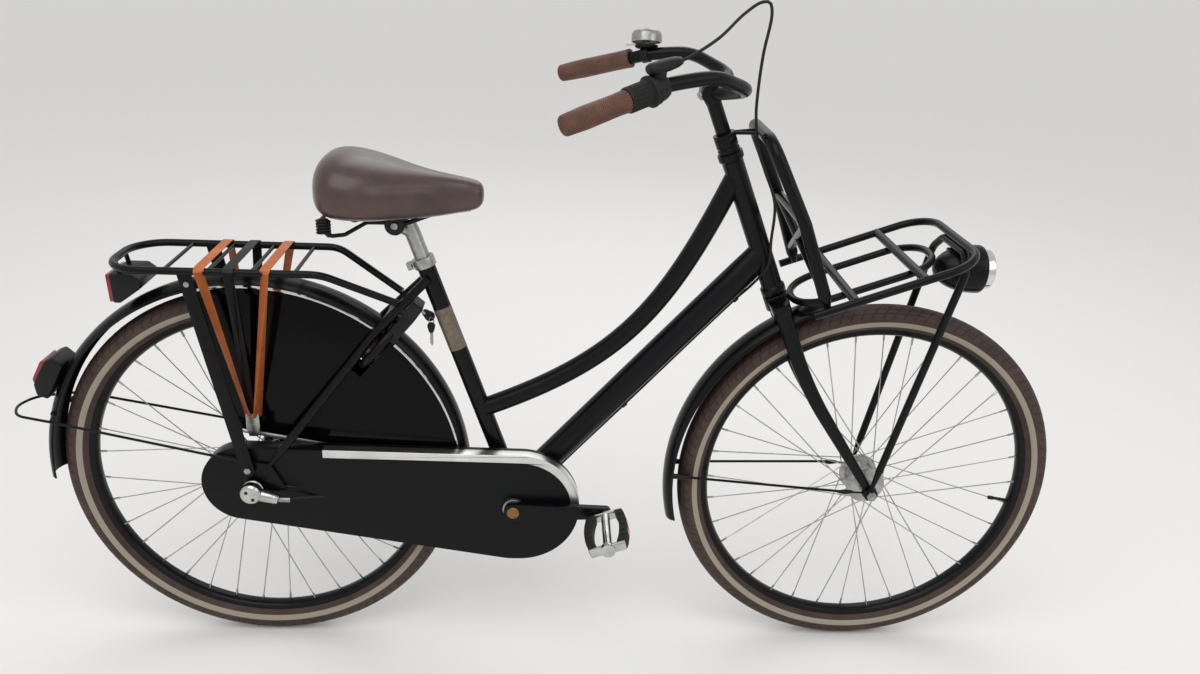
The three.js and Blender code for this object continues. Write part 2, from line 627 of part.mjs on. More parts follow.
frame.add(mesh("rear_fender", rearGuardForm(), "paint"));

// Chain case.
function caseOutline(grow) {
  return belt([
    { x: chainCase.rearX, z: chainCase.rearZ, r: chainCase.rear + grow },
    { x: bracket.x + caseStretch.near, z: bracket.z + caseStretch.rise, r: chainCase.front + grow },
    { x: bracket.x + caseStretch.far, z: bracket.z + caseStretch.rise, r: chainCase.front + grow },
  ]);
}
const hubHole = crossRod(rearAxle.x, rearAxle.z, -overrun, -chainCase.inner + overrun / 4, 27,
  facets.large);
const caseCover = cut(
  sidePlate(caseOutline(0), -chainCase.outer, -chainCase.inner - clear),
  sidePlate(caseOutline(-chainCase.wall), -chainCase.outer + chainCase.wall, overrun),
  crossRod(rearAxle.x, rearAxle.z, -overrun * 2, -overrun / 2, 14, facets.round),
  crossRod(bracket.x, bracket.z, -overrun * 2, -overrun / 2, chainring.boss + 2, facets.large),
  chainStayForm(RIGHT, clear), stayForm(RIGHT, clear), dropoutForm(RIGHT, clear), lowerCableSpace,
);
frame.add(mesh("chain_case_cover", caseCover, "paint"));

const backLow = -chainCase.inner;
const backHigh = -chainCase.inner + chainCase.panel;
function staySlot() {
  const path = chainStayPath(RIGHT).slice(0, 4).map((p, i) => v(i === 3 ? 235 : p.x,
    (backLow + backHigh) / 2, p.z));
  return tube(path, [12, 12, 12, 12].map((r) => [overrun / 8, r]), facets.pin);
}
frame.add(mesh("chain_case_back", cut(
  sidePlate(caseOutline(0), backLow, backHigh),
  shellForm(clear), hubHole, staySlot(), lowerCableSpace, chainStayForm(RIGHT, clear),
), "paint"));

// Chain: a grooved band round both toothed wheels.
const chainringRadius = (chainPitch * chainring.teeth) / (2 * PI);
const sprocketRadius = (chainPitch * sprocket.teeth) / (2 * PI);
function chainForm() {
  const loop = belt([
    { x: rearAxle.x, z: rearAxle.z, r: sprocketRadius },
    { x: bracket.x, z: bracket.z, r: chainringRadius },
  ], chain.step);
  const half = chain.inner + chain.plate;
  const section = [
    [-half, -chain.height], [-chain.inner, -chain.height], [-chain.inner, chain.web],
      [chain.inner, chain.web],
    [chain.inner, -chain.height], [half, -chain.height], [half, chain.height], [-half, chain.height],
  ];
  const rings = loop.map(([x, z], i) => {
    const [bx, bz] = loop[(i + loop.length - 1) % loop.length];
    const [ax, az] = loop[(i + 1) % loop.length];
    const out = v(az - bz, 0, bx - ax).normalize();
    return section.map(([y, rise]) => v(x + out.x * rise, -chainLine + y, z + out.z * rise));
  });
  return skin(rings, true);
}
frame.add(mesh("chain", chainForm(), "steel"));

function toothed(teeth, radius, thickness) {
  const outline = [];
  const tip = (radius + chain.web) * cos(chain.step / 2) - clear;
  const root = radius - chain.web;
  for (let i = 0; i < teeth; i++) {
    const at = (share) => ((i + share) / teeth) * 2 * PI;
    outline.push([root * cos(at(0)), root * sin(at(0))], [tip * cos(at(0.5)), tip * sin(at(0.5))]);
  }
  return sidePlate(outline, -chainLine - thickness / 2, -chainLine + thickness / 2);
}

// Rear axle with its nuts and the coaster brake's arm.
function rearAxleForm() {
  const out = rearSpacing / 2 + dropout.thickness + clear;
  const inner = rearSpacing / 2 - clear;
  const nut = (low, high) => crossRod(rearAxle.x, rearAxle.z, low, high, axle.nut, facets.rod);
  const cone = (low, high) => crossRod(rearAxle.x, rearAxle.z, low, high, axle.nut, facets.pin);
  const armEnd = v(brakeArm.reach, 0, brakeArm.z);
  const arm = sidePlate(belt([
    { x: armEnd.x, z: armEnd.z, r: brakeArm.width / 3 },
    { x: rearAxle.x, z: rearAxle.z, r: brakeArm.width / 1.4 },
  ]), brakeArm.gap, brakeArm.gap + brakeArm.thickness);
  const clip = cut(
    crossRod(armEnd.x, armEnd.z, chainStay.widths[3], brakeArm.gap + brakeArm.thickness, brakeArm.clip,
      facets.rod),
    chainStayForm(LEFT, clear));
  return join(
    crossRod(rearAxle.x, rearAxle.z, -out - axle.nutHeight / 2, out + axle.nutHeight + 4, axle.radius),
    nut(-out - axle.nutHeight / 2, -out), nut(brakeArm.gap, out + axle.nutHeight),
    cone(-inner, -54.5), cone(rearHub.left + clear, inner), arm, clip);
}
frame.add(mesh("rear_axle", rearAxleForm(), "steel"));

function unitForm() {
  const barrel = turned([
    [0, unitFrom], [unit.radius, unitFrom], [unit.radius, unitTo - unit.ferrule],
      [unit.radius - unit.ferrule, unitTo], [0, unitTo],
  ], rearAxle, Y.clone().negate(), facets.round);
  const middle = -(unitFrom + unitTo) / 2;
  const nose = rod(v(rearAxle.x, middle, rearAxle.z - 4), v(unit.noseX, middle, unit.noseZ), unit.nose,
    facets.pin);
  const ferrule = rod(v(unit.noseX, middle, unit.noseZ), v(unit.noseX + 2 * unit.nose, middle,
    unit.noseZ), unit.ferrule, facets.rod);
  return cut(join(barrel, nose, ferrule), lowerCableSpace);
}
frame.add(mesh("gear_shift_unit", unitForm(), "steel"));

// Tail lamp on the mudguard and reflector under the carrier.
function tailLampForm() {
  const out = v(cos(tailLamp.angle), 0, sin(tailLamp.angle));
  const down = v(-out.z, 0, out.x);
  const { depth, up, down: low, halfWidth } = tailLamp;
  const outline = [
    [-guard.shoulder, low], [-guard.shoulder, -up * 0.9], [depth * 0.55, -up], [depth * 0.92, -up * 0.7],
      [depth, low * 0.6], [depth * 0.55, low],
  ];
  const body = plate(outline, halfWidth * 2, polar(rearAxle, guard.outer, tailLamp.angle, halfWidth),
    out, down);
  return cut(body, guardForm(rearAxle, rearGuard, clear));
}
function reflectorForm() {
  const { front, rear, bottom, top, halfWidth, arm, armWidth, armX } = reflector;
  const outline = [[rear, top], [rear + 9, bottom], [front - 26, bottom + 8],
    [front, (bottom + top) / 2], [front - 14, top]];
  const arms = [RIGHT, LEFT].map((s) =>
    rod(v(rear + 14, s * armWidth, top - arm), v(armX, s * armWidth,
      carrier.height - carrier.radius / 2), arm, facets.wire));
  return cut(join(sidePlate(outline, -halfWidth, halfWidth), ...arms), carrierRails(clear));
}
frame.add(mesh("rear_light", tailLampForm(), "red"));
frame.add(mesh("rack_reflector", reflectorForm(), "plastic"));

// Coat guards: an arched panel at each side, open where the ring lock's shackle passes.
const lockDir = v(cos(lock.angle), 0, sin(lock.angle));
const lockCross = v(-lockDir.z, 0, lockDir.x);
const lockCentre = rearAxle.clone().addScaledVector(lockDir, lock.orbit);
const onLock = (angle, radius, lift = 0) =>
  lockCentre.clone().addScaledVector(lockDir, radius * cos(angle)).addScaledVector(Y,
    radius * sin(angle)).addScaledVector(lockCross, lift);
function coatForm(s) {
  const edge = guard.outer - guard.depth + guard.wall;
  const arc = Array.from({ length: 13 }, (_, i) => {
    const p = polar(rearAxle, edge, (104 - (i * 91) / 12) * degree);
    return [p.x, p.z];
  });
  const outline = [[-27, 440], [353, 434], ...arc.reverse(), [-100, 712]];
  const low = s * coat.gap;
  const high = s * (coat.gap + coat.thickness);
  const panel = sidePlate(outline, min(low, high), max(low, high));
  const slot = rod(
    lockCentre.clone().addScaledVector(lockDir, -lock.ring - lock.half).addScaledVector(Y,
      s * coat.gap - overrun / 8),
    lockCentre.clone().addScaledVector(lockDir, -lock.ring - lock.half).addScaledVector(Y,
      s * coat.gap + overrun / 8), 1, facets.rod);
  const gap = plate(
    [[-lock.ring - lock.half * 1.5, -lock.half * 1.6], [overrun, -lock.half * 1.6],
      [overrun, lock.half * 1.6],
      [-lock.ring - lock.half * 1.5, lock.half * 1.6]],
    overrun, lockCentre.clone().addScaledVector(Y, s * coat.gap + overrun / 2), lockDir, lockCross);
  return cut(panel, slot, gap, guardForm(rearAxle, rearGuard, clear));
}
frame.add(mesh("right_coat_guard", coatForm(RIGHT), "plastic"));
frame.add(mesh("left_coat_guard", coatForm(LEFT), "plastic"));

// Straps: three bands over the carrier, gathered in a hook at each side.
function strapForm() {
  const bands = [];
  const lift = carrier.radius + clear + strap.thickness;
  for (const x of strapPlaces) {
    const hook = (s) => side(s, strap.hookX, strap.hookWidth, strap.hookZ);
    const shoulder = (s) => side(s, x, carrier.halfWidth + lift, carrier.height + strap.shoulder);
    const crest = (s) => side(s, x, carrier.halfWidth - 1, carrier.height + lift);
    const corner = (s) => side(s, x, carrier.halfWidth + lift * 0.75, carrier.height + lift * 0.75);
    const path = [hook(RIGHT), shoulder(RIGHT), corner(RIGHT), crest(RIGHT), crest(LEFT), corner(LEFT),
      shoulder(LEFT), hook(LEFT)];
    const rings = path.map((p, i) => {
      const before = path[max(i - 1, 0)];
      const after = path[min(i + 1, path.length - 1)];
      const along = after.clone().sub(before).normalize();
      const across = X.clone().addScaledVector(along, -along.x).normalize();
      const out = across.clone().cross(along);
      const corners = [[-1, -1], [1, -1], [1, 1], [-1, 1]];
      return corners.map(([a, b]) => p.clone()
        .addScaledVector(across, (a * strap.width) / 2)
        .addScaledVector(out, (b * strap.thickness) / 2));
    });
    bands.push(skin(rings));
  }
  const tips = [RIGHT, LEFT].map((s) => {
    const low = s * (coat.gap + coat.thickness + clear);
    const high = s * (strap.hookWidth + strap.hookThickness / 2);
    const outline = [
      [strap.hookX - strap.width * 0.8, strap.hookZ + 6], [strap.hookX - strap.width * 0.5,
        strap.hookZ - strap.hookLength],
      [strap.hookX + strap.width * 0.5, strap.hookZ - strap.hookLength],
        [strap.hookX + strap.width * 0.8, strap.hookZ + 6],
    ];
    return sidePlate(outline, min(low, high), max(low, high));
  });
  return cut(join(...bands, ...tips), carrierRails(clear));
}
frame.add(mesh("carrier_straps", strapForm(), "orange"));

// Ring lock: a horseshoe with the lock housing on top; its shackle runs in the ring's bore.
function arcTube(radius, section, from, to, steps) {
  const path = Array.from({ length: steps + 1 }, (_, i) => from + ((to - from) * i) / steps);
  return skin(path.map((angle) => section.map(([a, b]) => onLock(angle, radius + a, b))));
}
const disc = (radius, sides, grow = 1) =>
  Array.from({ length: sides }, (_, k) => [radius * grow * cos((k * 2 * PI) / sides),
    radius * grow * sin((k * 2 * PI) / sides)]);
const stayAtLock = (s) => {
  const [top, middle] = stayPath(s);
  const along = (p) => p.clone().sub(lockCentre).dot(lockDir);
  return top.clone().lerp(middle, (lockTop.lugAlong - along(top)) / (along(middle) - along(top)));
};
function lockForm() {
  const h = lock.half;
  const bevel = h * 0.7;
  const section = [[-h, -h], [bevel, -h], [h, -bevel], [h, bevel], [bevel, h], [-h, h]];
  const ring = arcTube(lock.ring, section, -lock.reach, lock.reach, lock.steps);
  const { halfWidth, rise, back, front } = lockTop;
  const inner = lock.ring - h / 2;
  const housing = plate([
    [inner * 0.55, halfWidth], [inner * 0.55, -halfWidth], [inner + rise * 0.6, -halfWidth * 0.95],
    [inner + rise, -halfWidth * 0.5], [inner + rise, halfWidth * 0.5],
      [inner + rise * 0.6, halfWidth * 0.95],
  ], front + back, lockCentre.clone().addScaledVector(lockCross, -front), lockDir, Y);
  const eye = rod(lockCentre.clone().addScaledVector(lockCross, -2 * front),
    lockCentre.clone().addScaledVector(lockCross, 2 * front),
    inner, facets.large);
  const lugs = [RIGHT, LEFT].map((s) => {
    const onStay = stayAtLock(s);
    const lift = onStay.clone().sub(lockCentre).dot(lockCross);
    return rod(onStay.clone().addScaledVector(lockCross, -lift), onStay, lockTop.lug, facets.rod);
  });
  const past = lock.reach + 4 * degree;
  const tunnel = arcTube(lock.ring, disc(lock.bore, facets.rod), -past, past, lock.steps);
  const slotWidth = shackle.stem + clear * 2;
  const slotReach = h * 4;
  const slot = arcTube(lock.ring, [[0, -slotWidth], [slotReach, -slotWidth], [slotReach, slotWidth],
    [0, slotWidth]],
    shackle.knobAt - 8 * degree, past, facets.pin);
  return cut(join(ring, cut(housing, eye), ...lugs), tunnel, slot, lockKeySpace(),
    stayForm(RIGHT, clear), stayForm(LEFT, clear));
}
const keyAt = onLock(0, lock.ring + lockTop.rise * 0.75, -lockTop.front);
const keyPoint = (out) => keyAt.clone().addScaledVector(lockCross, -out);
function lockKeySpace() {
  return rod(keyPoint(lockKey.blade), keyPoint(-lockKey.blade), around(lockKey.shank, facets.pin),
    facets.pin);
}
function lockKeyForm() {
  const blade = rod(keyPoint(clear - lockKey.blade), keyPoint(lockKey.offset + lockKey.bow),
    lockKey.shank, facets.rod);
  const bowAt = keyPoint(lockKey.offset + lockKey.bow);
  const across = Y.clone().multiplyScalar(lockKey.thickness);
  return join(blade, rod(bowAt.clone().sub(across), bowAt.clone().add(across), lockKey.bow, facets.round));
}
function shackleForm() {
  const arc = arcTube(lock.ring, disc(shackle.radius, facets.rod), shackle.tip - shackle.sweep,
    shackle.tip, shackle.steps);
  const knobFoot = lock.ring + lock.half + 3 * clear;
  const stem = rod(onLock(shackle.knobAt, lock.ring), onLock(shackle.knobAt,
    knobFoot + shackle.knob / 2), shackle.stem, facets.rod);
  const knob = rod(onLock(shackle.knobAt, knobFoot), onLock(shackle.knobAt,
    knobFoot + shackle.knobHeight), shackle.knob, facets.pin);
  return join(arc, stem, knob);
}
frame.add(mesh("ring_lock", lockForm(), "satin"));
frame.add(mesh("shift_cable_lower", lowerCable, "rubber"));

const shackleGroup = new THREE.Group();
shackleGroup.add(mesh("lock_shackle", shackleForm(), "steel"));
const keyGroup = new THREE.Group();
keyGroup.add(mesh("lock_key", lockKeyForm(), "plastic"));

function standForm() {
  const hub = standPivot.clone().addScaledVector(standOutward, stand.bossLength / 2 + clear);
  const eyeHalf = stand.leg + clear;
  const eye = rod(hub, hub.clone().addScaledVector(standOutward, 2 * eyeHalf), stand.boss, facets.pin);
  const start = hub.clone().addScaledVector(standOutward, eyeHalf);
  const end = start.clone().addScaledVector(standFolded, stand.length);
  const foot = rod(end, end.clone().addScaledVector(standFolded, -stand.foot * 3), stand.foot, facets.pin);
  return join(eye, rod(start, end, stand.leg, facets.pin), foot);
}
const standGroup = new THREE.Group();
standGroup.add(mesh("kickstand", standForm(), "satin"));

// Saddle: post with its clamp, wire rails, and the padded cover over them.
const railPath = (s) => bend([
  side(s, railWire.nose, railWire.noseSpread, railWire.noseZ),
  side(s, 330, railWire.spread, railWire.z),
  side(s, 215, railWire.spread, railWire.z),
  side(s, railWire.rearX, railWire.spread + 22, railWire.rearZ),
  side(s, railRear.endX + 6, railRear.spread, railWire.rearZ + 2),
  side(s, railRear.endX, railRear.spread, saddle.bottom + 4),
], railRear.bend);
const railTube = (s, grow) => tube(railPath(s), railWire.radius + grow, facets.wire);
function railsForm() {
  const front = rod(v(railWire.nose - 2, -railWire.noseSpread, railWire.noseZ),
    v(railWire.nose - 2, railWire.noseSpread, railWire.noseZ), railWire.pin, facets.wire);
  const back = tube(bend([
    v(railRear.endX + 8, -railRear.spread, railWire.rearZ + 3),
      v(railRear.endX - 16, -railRear.spread * 0.6, railWire.rearZ + 14),
    v(railRear.endX - 16, railRear.spread * 0.6, railWire.rearZ + 14),
      v(railRear.endX + 8, railRear.spread, railWire.rearZ + 3),
  ], 18), railWire.radius, facets.wire);
  return join(railTube(RIGHT, 0), railTube(LEFT, 0), front, back);
}
function cushionForm() {
  // Rows: share of the length, half width share, top share and bottom share of the height.
  const rowShares = [
    [0, 0.3, 0.6, 0.42], [0.02, 0.62, 0.78, 0.2], [0.06, 0.86, 0.93, 0.08], [0.14, 1, 1, 0.02],
      [0.26, 1, 0.97, 0],
    [0.38, 0.9, 0.9, 0], [0.5, 0.7, 0.82, 0], [0.62, 0.48, 0.74, 0], [0.74, 0.33, 0.68, 0.03],
      [0.86, 0.26, 0.63, 0.09],
    [0.94, 0.23, 0.59, 0.13], [0.98, 0.18, 0.55, 0.18], [1, 0.09, 0.46, 0.28],
  ];
  const height = saddle.top - saddle.bottom;
  const rings = rowShares.map(([u, wide, top, low]) => {
    const x = saddle.rear + (saddle.nose - saddle.rear) * u;
    const halfWidth = saddle.halfWidth * wide;
    const upper = saddle.bottom + height * top;
    const lower = saddle.bottom + height * low;
    const waist = lower + (upper - lower) * 0.42;
    return Array.from({ length: saddle.sides }, (_, k) => {
      const turn = ((k + 0.5) / saddle.sides) * 2 * PI;
      const c = cos(turn);
      const n = sin(turn);
      const reach = n > 0 ? 1 : 1 - 0.16 * abs(n);
      const y = halfWidth * Math.sign(c) * abs(c) ** 0.7 * reach;
      const z = n > 0 ? waist + (upper - waist) * n ** 0.9 : waist - (waist - lower) * abs(n) ** 0.45;
      return v(x, y, z);
    });
  });
  const body = skin(rings);
  const spaces = [RIGHT, LEFT].map((s) => railTube(s, 2 * clear));
  return cut(body, ...spaces);
}
function postForm() {
  const clampHalf = saddleClamp.halfWidth;
  const head = crossRod(saddleClamp.x, saddleClamp.z, -clampHalf, clampHalf, saddleClamp.radius,
    facets.round);
  const neck = rod(onSeat(post.top - 12), v(saddleClamp.x, 0, saddleClamp.z), post.radius, facets.pin);
  const column = tube([onSeat(post.insert), onSeat(post.top)], post.radius, frameSides);
  return cut(join(column, neck, head), railTube(RIGHT, clear), railTube(LEFT, clear), cushionForm(),
    box(v(saddle.rear, -overrun, saddle.bottom - clear), v(saddle.nose, overrun, saddle.top)));
}
const saddleGroup = new THREE.Group();
saddleGroup.add(mesh("seatpost", postForm(), "steel"));
saddleGroup.add(mesh("saddle_springs", railsForm(), "plastic"));
saddleGroup.add(mesh("saddle_cushion", cushionForm(), "saddle"));

// Wheels, each drawn round its own axle.
const hubAt = v(0, 0, 0);
function tyreForm() {
  const centre = wheelRadius - tyre.section;
  const high = (share) => centre + tyre.section * share;
  const wide = (share) => tyre.section * share;
  const half = [
    [tyre.bead, tyre.beadWidth], [high(-0.74), wide(0.5)], [high(-0.2), wide(0.98)],
      [high(0.45), wide(0.9)],
    [wheelRadius, tyre.tread],
  ];
  const profile = [...half, ...half.slice().reverse().map(([radius, y]) => [radius, -y])];
  return turned(profile, hubAt, Y, tyre.segments);
}
function rimForm() {
  const inside = rim.width - rim.wall;
  const half = [[rim.inner, rim.base], [rim.floor - rim.wall, rim.width], [rim.outer, rim.width],
    [rim.floor, inside]];
  const profile = [...half, ...half.slice().reverse().map(([radius, y]) => [radius, -y])];
  return turned(profile, hubAt, Y, tyre.segments);
}
function hubForm(hub, phase) {
  const bore = around(axle.radius, facets.round);
  const thick = flangeThickness / 2;
  const { flange, barrel, flangeRight, flangeLeft, right, left, brake } = hub;
  const profile = [
    [bore, right], [brake * 0.55, right], [barrel * 0.8, flangeRight - thick - 4 * clear],
      [barrel * 0.8, flangeRight - thick],
    [flange, flangeRight - thick], [flange, flangeRight + thick], [barrel, flangeRight + thick + 3 * clear],
    [barrel, flangeLeft - thick - 3 * clear], [flange, flangeLeft - thick], [flange, flangeLeft + thick],
    [brake, flangeLeft + thick + 3 * clear], [brake * 0.9, left], [bore, left],
  ];
  const shellBody = turned(profile, hubAt, Y, facets.large);
  const spokes = [];
  const perSide = spoke.count / 2;
  const rimReach = rim.inner * cos(PI / tyre.segments) - 2 * clear;
  for (let i = 0; i < spoke.count; i++) {
    const s = i % 2 ? 1 : -1;
    const turn = phase + (i / spoke.count) * 2 * PI;
    const lead = Math.floor(i / 2) % 2 ? 1 : -1;
    const hole = turn + (lead * spoke.crosses * 2 * PI) / perSide;
    const flangeY = (s > 0 ? flangeLeft : flangeRight) + lead * spoke.lace;
    const from = polar(hubAt, hub.pitch, hole, flangeY);
    const to = polar(hubAt, rimReach, turn, s * spoke.tipWidth + lead * spoke.lace);
    spokes.push(tube([from, to], [spoke.radius, spoke.tip], spoke.sides));
  }
  return spokes.reduce((sum, next) => sum.add(next), shellBody);
}
function wheel(name, hub, phase, at) {
  const group = new THREE.Group();
  group.add(mesh(name + "_spoked_hub", hubForm(hub, phase), "steel"));
  group.add(mesh(name + "_rim", rimForm(), "satin"));
  group.add(mesh(name + "_tyre", tyreForm(), "tyre"));
  group.position.copy(at);
  return group;
}
const lockPhase = lock.angle - 5 * degree;

// Drive.
function spinMesh() {
  const boss = crossRod(0, 0, -54, -rearHub.right * -1 - clear, sprocket.boss, facets.round);
  return cut(join(toothed(sprocket.teeth, sprocketRadius, sprocket.thickness), boss),
    crossRod(0, 0, -overrun * 2, overrun, around(axle.radius, facets.pin), facets.pin));
}
const sprocketGroup = new THREE.Group();
sprocketGroup.add(mesh("rear_sprocket", spinMesh(), "steel"));
sprocketGroup.position.copy(rearAxle);

const pedalAt = (s) => v(crank.length * -s, 0, 0);
function armForm(s) {
  const end = pedalAt(s);
  const outline = belt([
    { x: 0, z: 0, r: crank.hubRadius },
    { x: end.x, z: end.z, r: crank.eyeRadius },
  ]);
  const low = s * crank.inner;
  const high = s * crank.outer;
  const arm = sidePlate(outline, min(low, high), max(low, high));
  const cap = crossRod(0, 0, s * (crank.outer - clear), s * (crank.outer + crank.capHeight), crank.cap,
    facets.round);
  const eye = crossRod(end.x, end.z, -overrun * 2, overrun * 2, around(pedal.axle, facets.pin), facets.pin);
  return { arm: cut(arm, eye), cap };
}
const crankGroup = new THREE.Group();
const right = armForm(RIGHT);
const left = armForm(LEFT);
const spindleEnd = crank.outer - crank.capHeight;
crankGroup.add(mesh("right_crank", join(
  right.arm, right.cap,
  crossRod(0, 0, -crank.outer, spindleEnd, crank.spindle, facets.round),
  crossRod(0, 0, -crank.inner - clear, -chainLine, chainring.boss, facets.large),
  toothed(chainring.teeth, chainringRadius, chainring.thickness),
), "satin"));
const leftSeat = crossRod(0, 0, 0, spindleEnd + clear, around(crank.spindle, facets.round), facets.round);
const leftBoss = crossRod(0, 0, shell.halfWidth + 3, crank.inner + clear, crank.hubRadius, facets.round);
crankGroup.add(mesh("left_crank", cut(join(left.arm, left.cap, leftBoss), leftSeat), "satin"));
crankGroup.position.copy(bracket);

function pedalForm(s) {
  const { inner, outer, reach, block, bow, thickness } = pedal;
  const half = (outer - inner) / 2;
  const middle = (inner + outer) / 2;
  const blocks = [-1, 1].map((end) => {
    const rows = 4;
    const outside = Array.from({ length: rows + 1 }, (_, i) => {
      const u = (i / rows) * 2 - 1;
      return [end * (reach - bow * u * u), middle + u * (half - pedalPlate.thickness)];
    });
    const inside = outside.map(([x, y]) => [x - end * block, y]).reverse();
    return plate([...outside, ...inside].map(([x, y]) => [x, s * y]), thickness, v(0, 0, -thickness / 2),
      X, Y);
  });
  const low = -pedalPlate.height / 2;
  const high = pedalPlate.height / 2;
  const bridgeReach = reach - bow - 2 * clear;
  const end = (y) => {
    const a = s * y;
    const b = s * (y + pedalPlate.thickness);
    return sidePlate([[-bridgeReach, low], [bridgeReach, low], [bridgeReach, high],
      [-bridgeReach, high]], min(a, b), max(a, b));
  };
  const sleeve = crossRod(0, 0, s * inner, s * outer, pedalPlate.sleeve, facets.pin);
  const cap = crossRod(0, 0, s * (outer - pedalPlate.thickness), s * (outer + pedalPlate.thickness),
    pedalPlate.cap, facets.round);
  const stub = crossRod(0, 0, s * crank.inner, s * (inner + pedalPlate.thickness), pedal.axle, facets.pin);
  return join(...blocks, end(inner), end(outer - pedalPlate.thickness), sleeve, cap, stub);
}
function pedalGroup(name, s) {
  const group = new THREE.Group();
  group.add(mesh(name, pedalForm(s), "rubber"));
  group.position.copy(bracket).add(pedalAt(s));
  group.rotation.y = -pedal.tilt;
  return group;
}

// Fork.
const fork = new THREE.Group();
const crownTop = -headTube.below - clear - 2;
function crownForm() {
  const bore = around(stem.quill, facets.large);
  const profile = [
    [0, -crown.below - crown.height / 2], [headTube.cup, -crown.below - crown.height / 2],
      [headTube.cup, crownTop],
    [steerer.radius + 3, -headTube.below - clear], [steerer.radius, -headTube.below - clear],
    [steerer.radius, locknut.from], [locknut.radius, locknut.from], [locknut.radius, locknut.to],
    [bore, locknut.to], [bore, locknut.to - steerer.boreDepth], [0, locknut.to - steerer.boreDepth],
  ];
  const column = turned(profile, headPoint, headDir, facets.large);
  const forward = v(headDir.z, 0, -headDir.x);
  const outline = belt([
    { x: -crown.halfWidth + crown.depth / 2, z: 0, r: crown.depth / 2 },
    { x: crown.halfWidth - crown.depth / 2, z: 0, r: crown.depth / 2 },
  ], 20 * degree);
  const block = plate(outline, crown.height, onHead(-crown.below - crown.height / 2), Y,
    forward.clone().negate());
  return join(column, block);
}
const bladeTop = -crown.below - crown.height / 2 - clear;
const knee = -blade.kneeDown;
function bladeForm(s) {
  const top = onHead(bladeTop);
  const bendAt = onHead(knee);
  const path = bend([v(top.x, s * blade.topWidth, top.z), v(bendAt.x, s * (blade.topWidth + 4), bendAt.z),
    v(frontAxle.x, s * blade.tipWidth, frontAxle.z)], blade.bendRadius, 8 * degree);
  const total = path.length - 1;
  const radii = path.map((_, i) => {
    const share = i < 1 ? 0 : i / total;
    return [blade.topSide + (blade.tipSide - blade.topSide) * share,
      blade.top + (blade.tip - blade.top) * share];
  });
  radii[total] = [forkEnd.thickness / 2, blade.tip];
  const inner = s * (frontSpacing / 2);
  const outer = s * (frontSpacing / 2 + forkEnd.thickness);
  const tab = crossRod(frontAxle.x, frontAxle.z, min(inner, outer), max(inner, outer), forkEnd.radius,
    facets.round);
  return cut(join(tube(path, radii, facets.pin), tab),
    crossRod(frontAxle.x, frontAxle.z, -overrun * 2, overrun * 2, around(axle.radius, facets.pin),
      facets.pin),
    frontWheelSpace);
}
const frontWheelSpace = crossRod(frontAxle.x, frontAxle.z, -guard.halfWidth - clear,
  guard.halfWidth + clear, guard.outer + 2 * clear, 60);
fork.add(mesh("fork_crown", crownForm(), "paint"));
fork.add(mesh("right_fork_blade", bladeForm(RIGHT), "paint"));
fork.add(mesh("left_fork_blade", bladeForm(LEFT), "paint"));

// Handlebar: places along its right half as shares of its reach, half width and rise.
const barCentre = onHead(stem.clampAt);
const barShares = [[0, 0, 0], [0.12, 0.165, 0.19], [0.183, 0.324, 0.41], [0.09, 0.46, 0.69],
  [-0.072, 0.588, 1], [-0.243, 0.654, 1]];
const barPlace = (s, [a, b, c]) => v(barCentre.x + a * bar.reach, s * b * bar.halfWidth,
  barCentre.z + c * bar.rise);
const barTip = (s) => v(barCentre.x - bar.reach, s * bar.halfWidth, barCentre.z - bar.tipDrop);
const barStraightShare = [-0.413, 0.706, 0.656];
const barDir = (s) => barPlace(s, barStraightShare).sub(barTip(s)).normalize();
const onBar = (s, t) => barTip(s).addScaledVector(barDir(s), t);
function barPath() {
  const half = (s) => [onBar(s, bar.straight - 14), onBar(s, bar.straight - 7),
    ...barShares.slice(1).reverse().slice(1).map((p) => barPlace(s, p))];
  const points = [...half(RIGHT), barPlace(1, barShares[0]), ...half(LEFT).reverse()];
  const curve = new THREE.CatmullRomCurve3(points, false, "centripetal");
  return [barTip(RIGHT), ...curve.getSpacedPoints(20), barTip(LEFT)];
}
const barForm = (grow) => tube(barPath(), bar.radius + grow, bar.sides);
fork.add(mesh("handlebar", barForm(0), "satin"));
function stemForm() {
  const profile = [
    [0, stem.quillFrom], [stem.quill, stem.quillFrom], [stem.quill, locknut.to + clear],
      [stem.radius, locknut.to + clear],
    [stem.radius, stem.clampAt], [0, stem.clampAt],
  ];
  const column = turned(profile, headPoint, headDir, facets.round);
  const clampBody = crossRod(barCentre.x, barCentre.z, -stem.clampWidth, stem.clampWidth, stem.clamp, 18);
  const boltAt = barCentre.clone().addScaledVector(v(headDir.z, 0, -headDir.x), -stem.clamp);
  const bolt = crossRod(boltAt.x, boltAt.z, -stem.clampWidth * 0.7, stem.clampWidth * 0.7, stem.bolt,
    facets.rod);
  return cut(join(column, clampBody, bolt), barForm(clear));
}
fork.add(mesh("stem", stemForm(), "satin"));

function gripForm(s, length) {
  const bore = around(bar.radius, facets.round);
  const { radius, end, neck } = grip;
  const profile = [
    [0, -end - 2], [radius * 0.8, -end - 2], [neck, -end], [radius, length * 0.25],
      [radius * 0.97, length * 0.6], [radius, length],
    [bore, length], [bore, -clear], [0, -clear],
  ];
  return turned(profile, barTip(s), barDir(s), facets.round);
}
fork.add(mesh("right_grip", gripForm(RIGHT, grip.right), "grip"));
fork.add(mesh("left_grip", gripForm(LEFT, grip.left), "grip"));

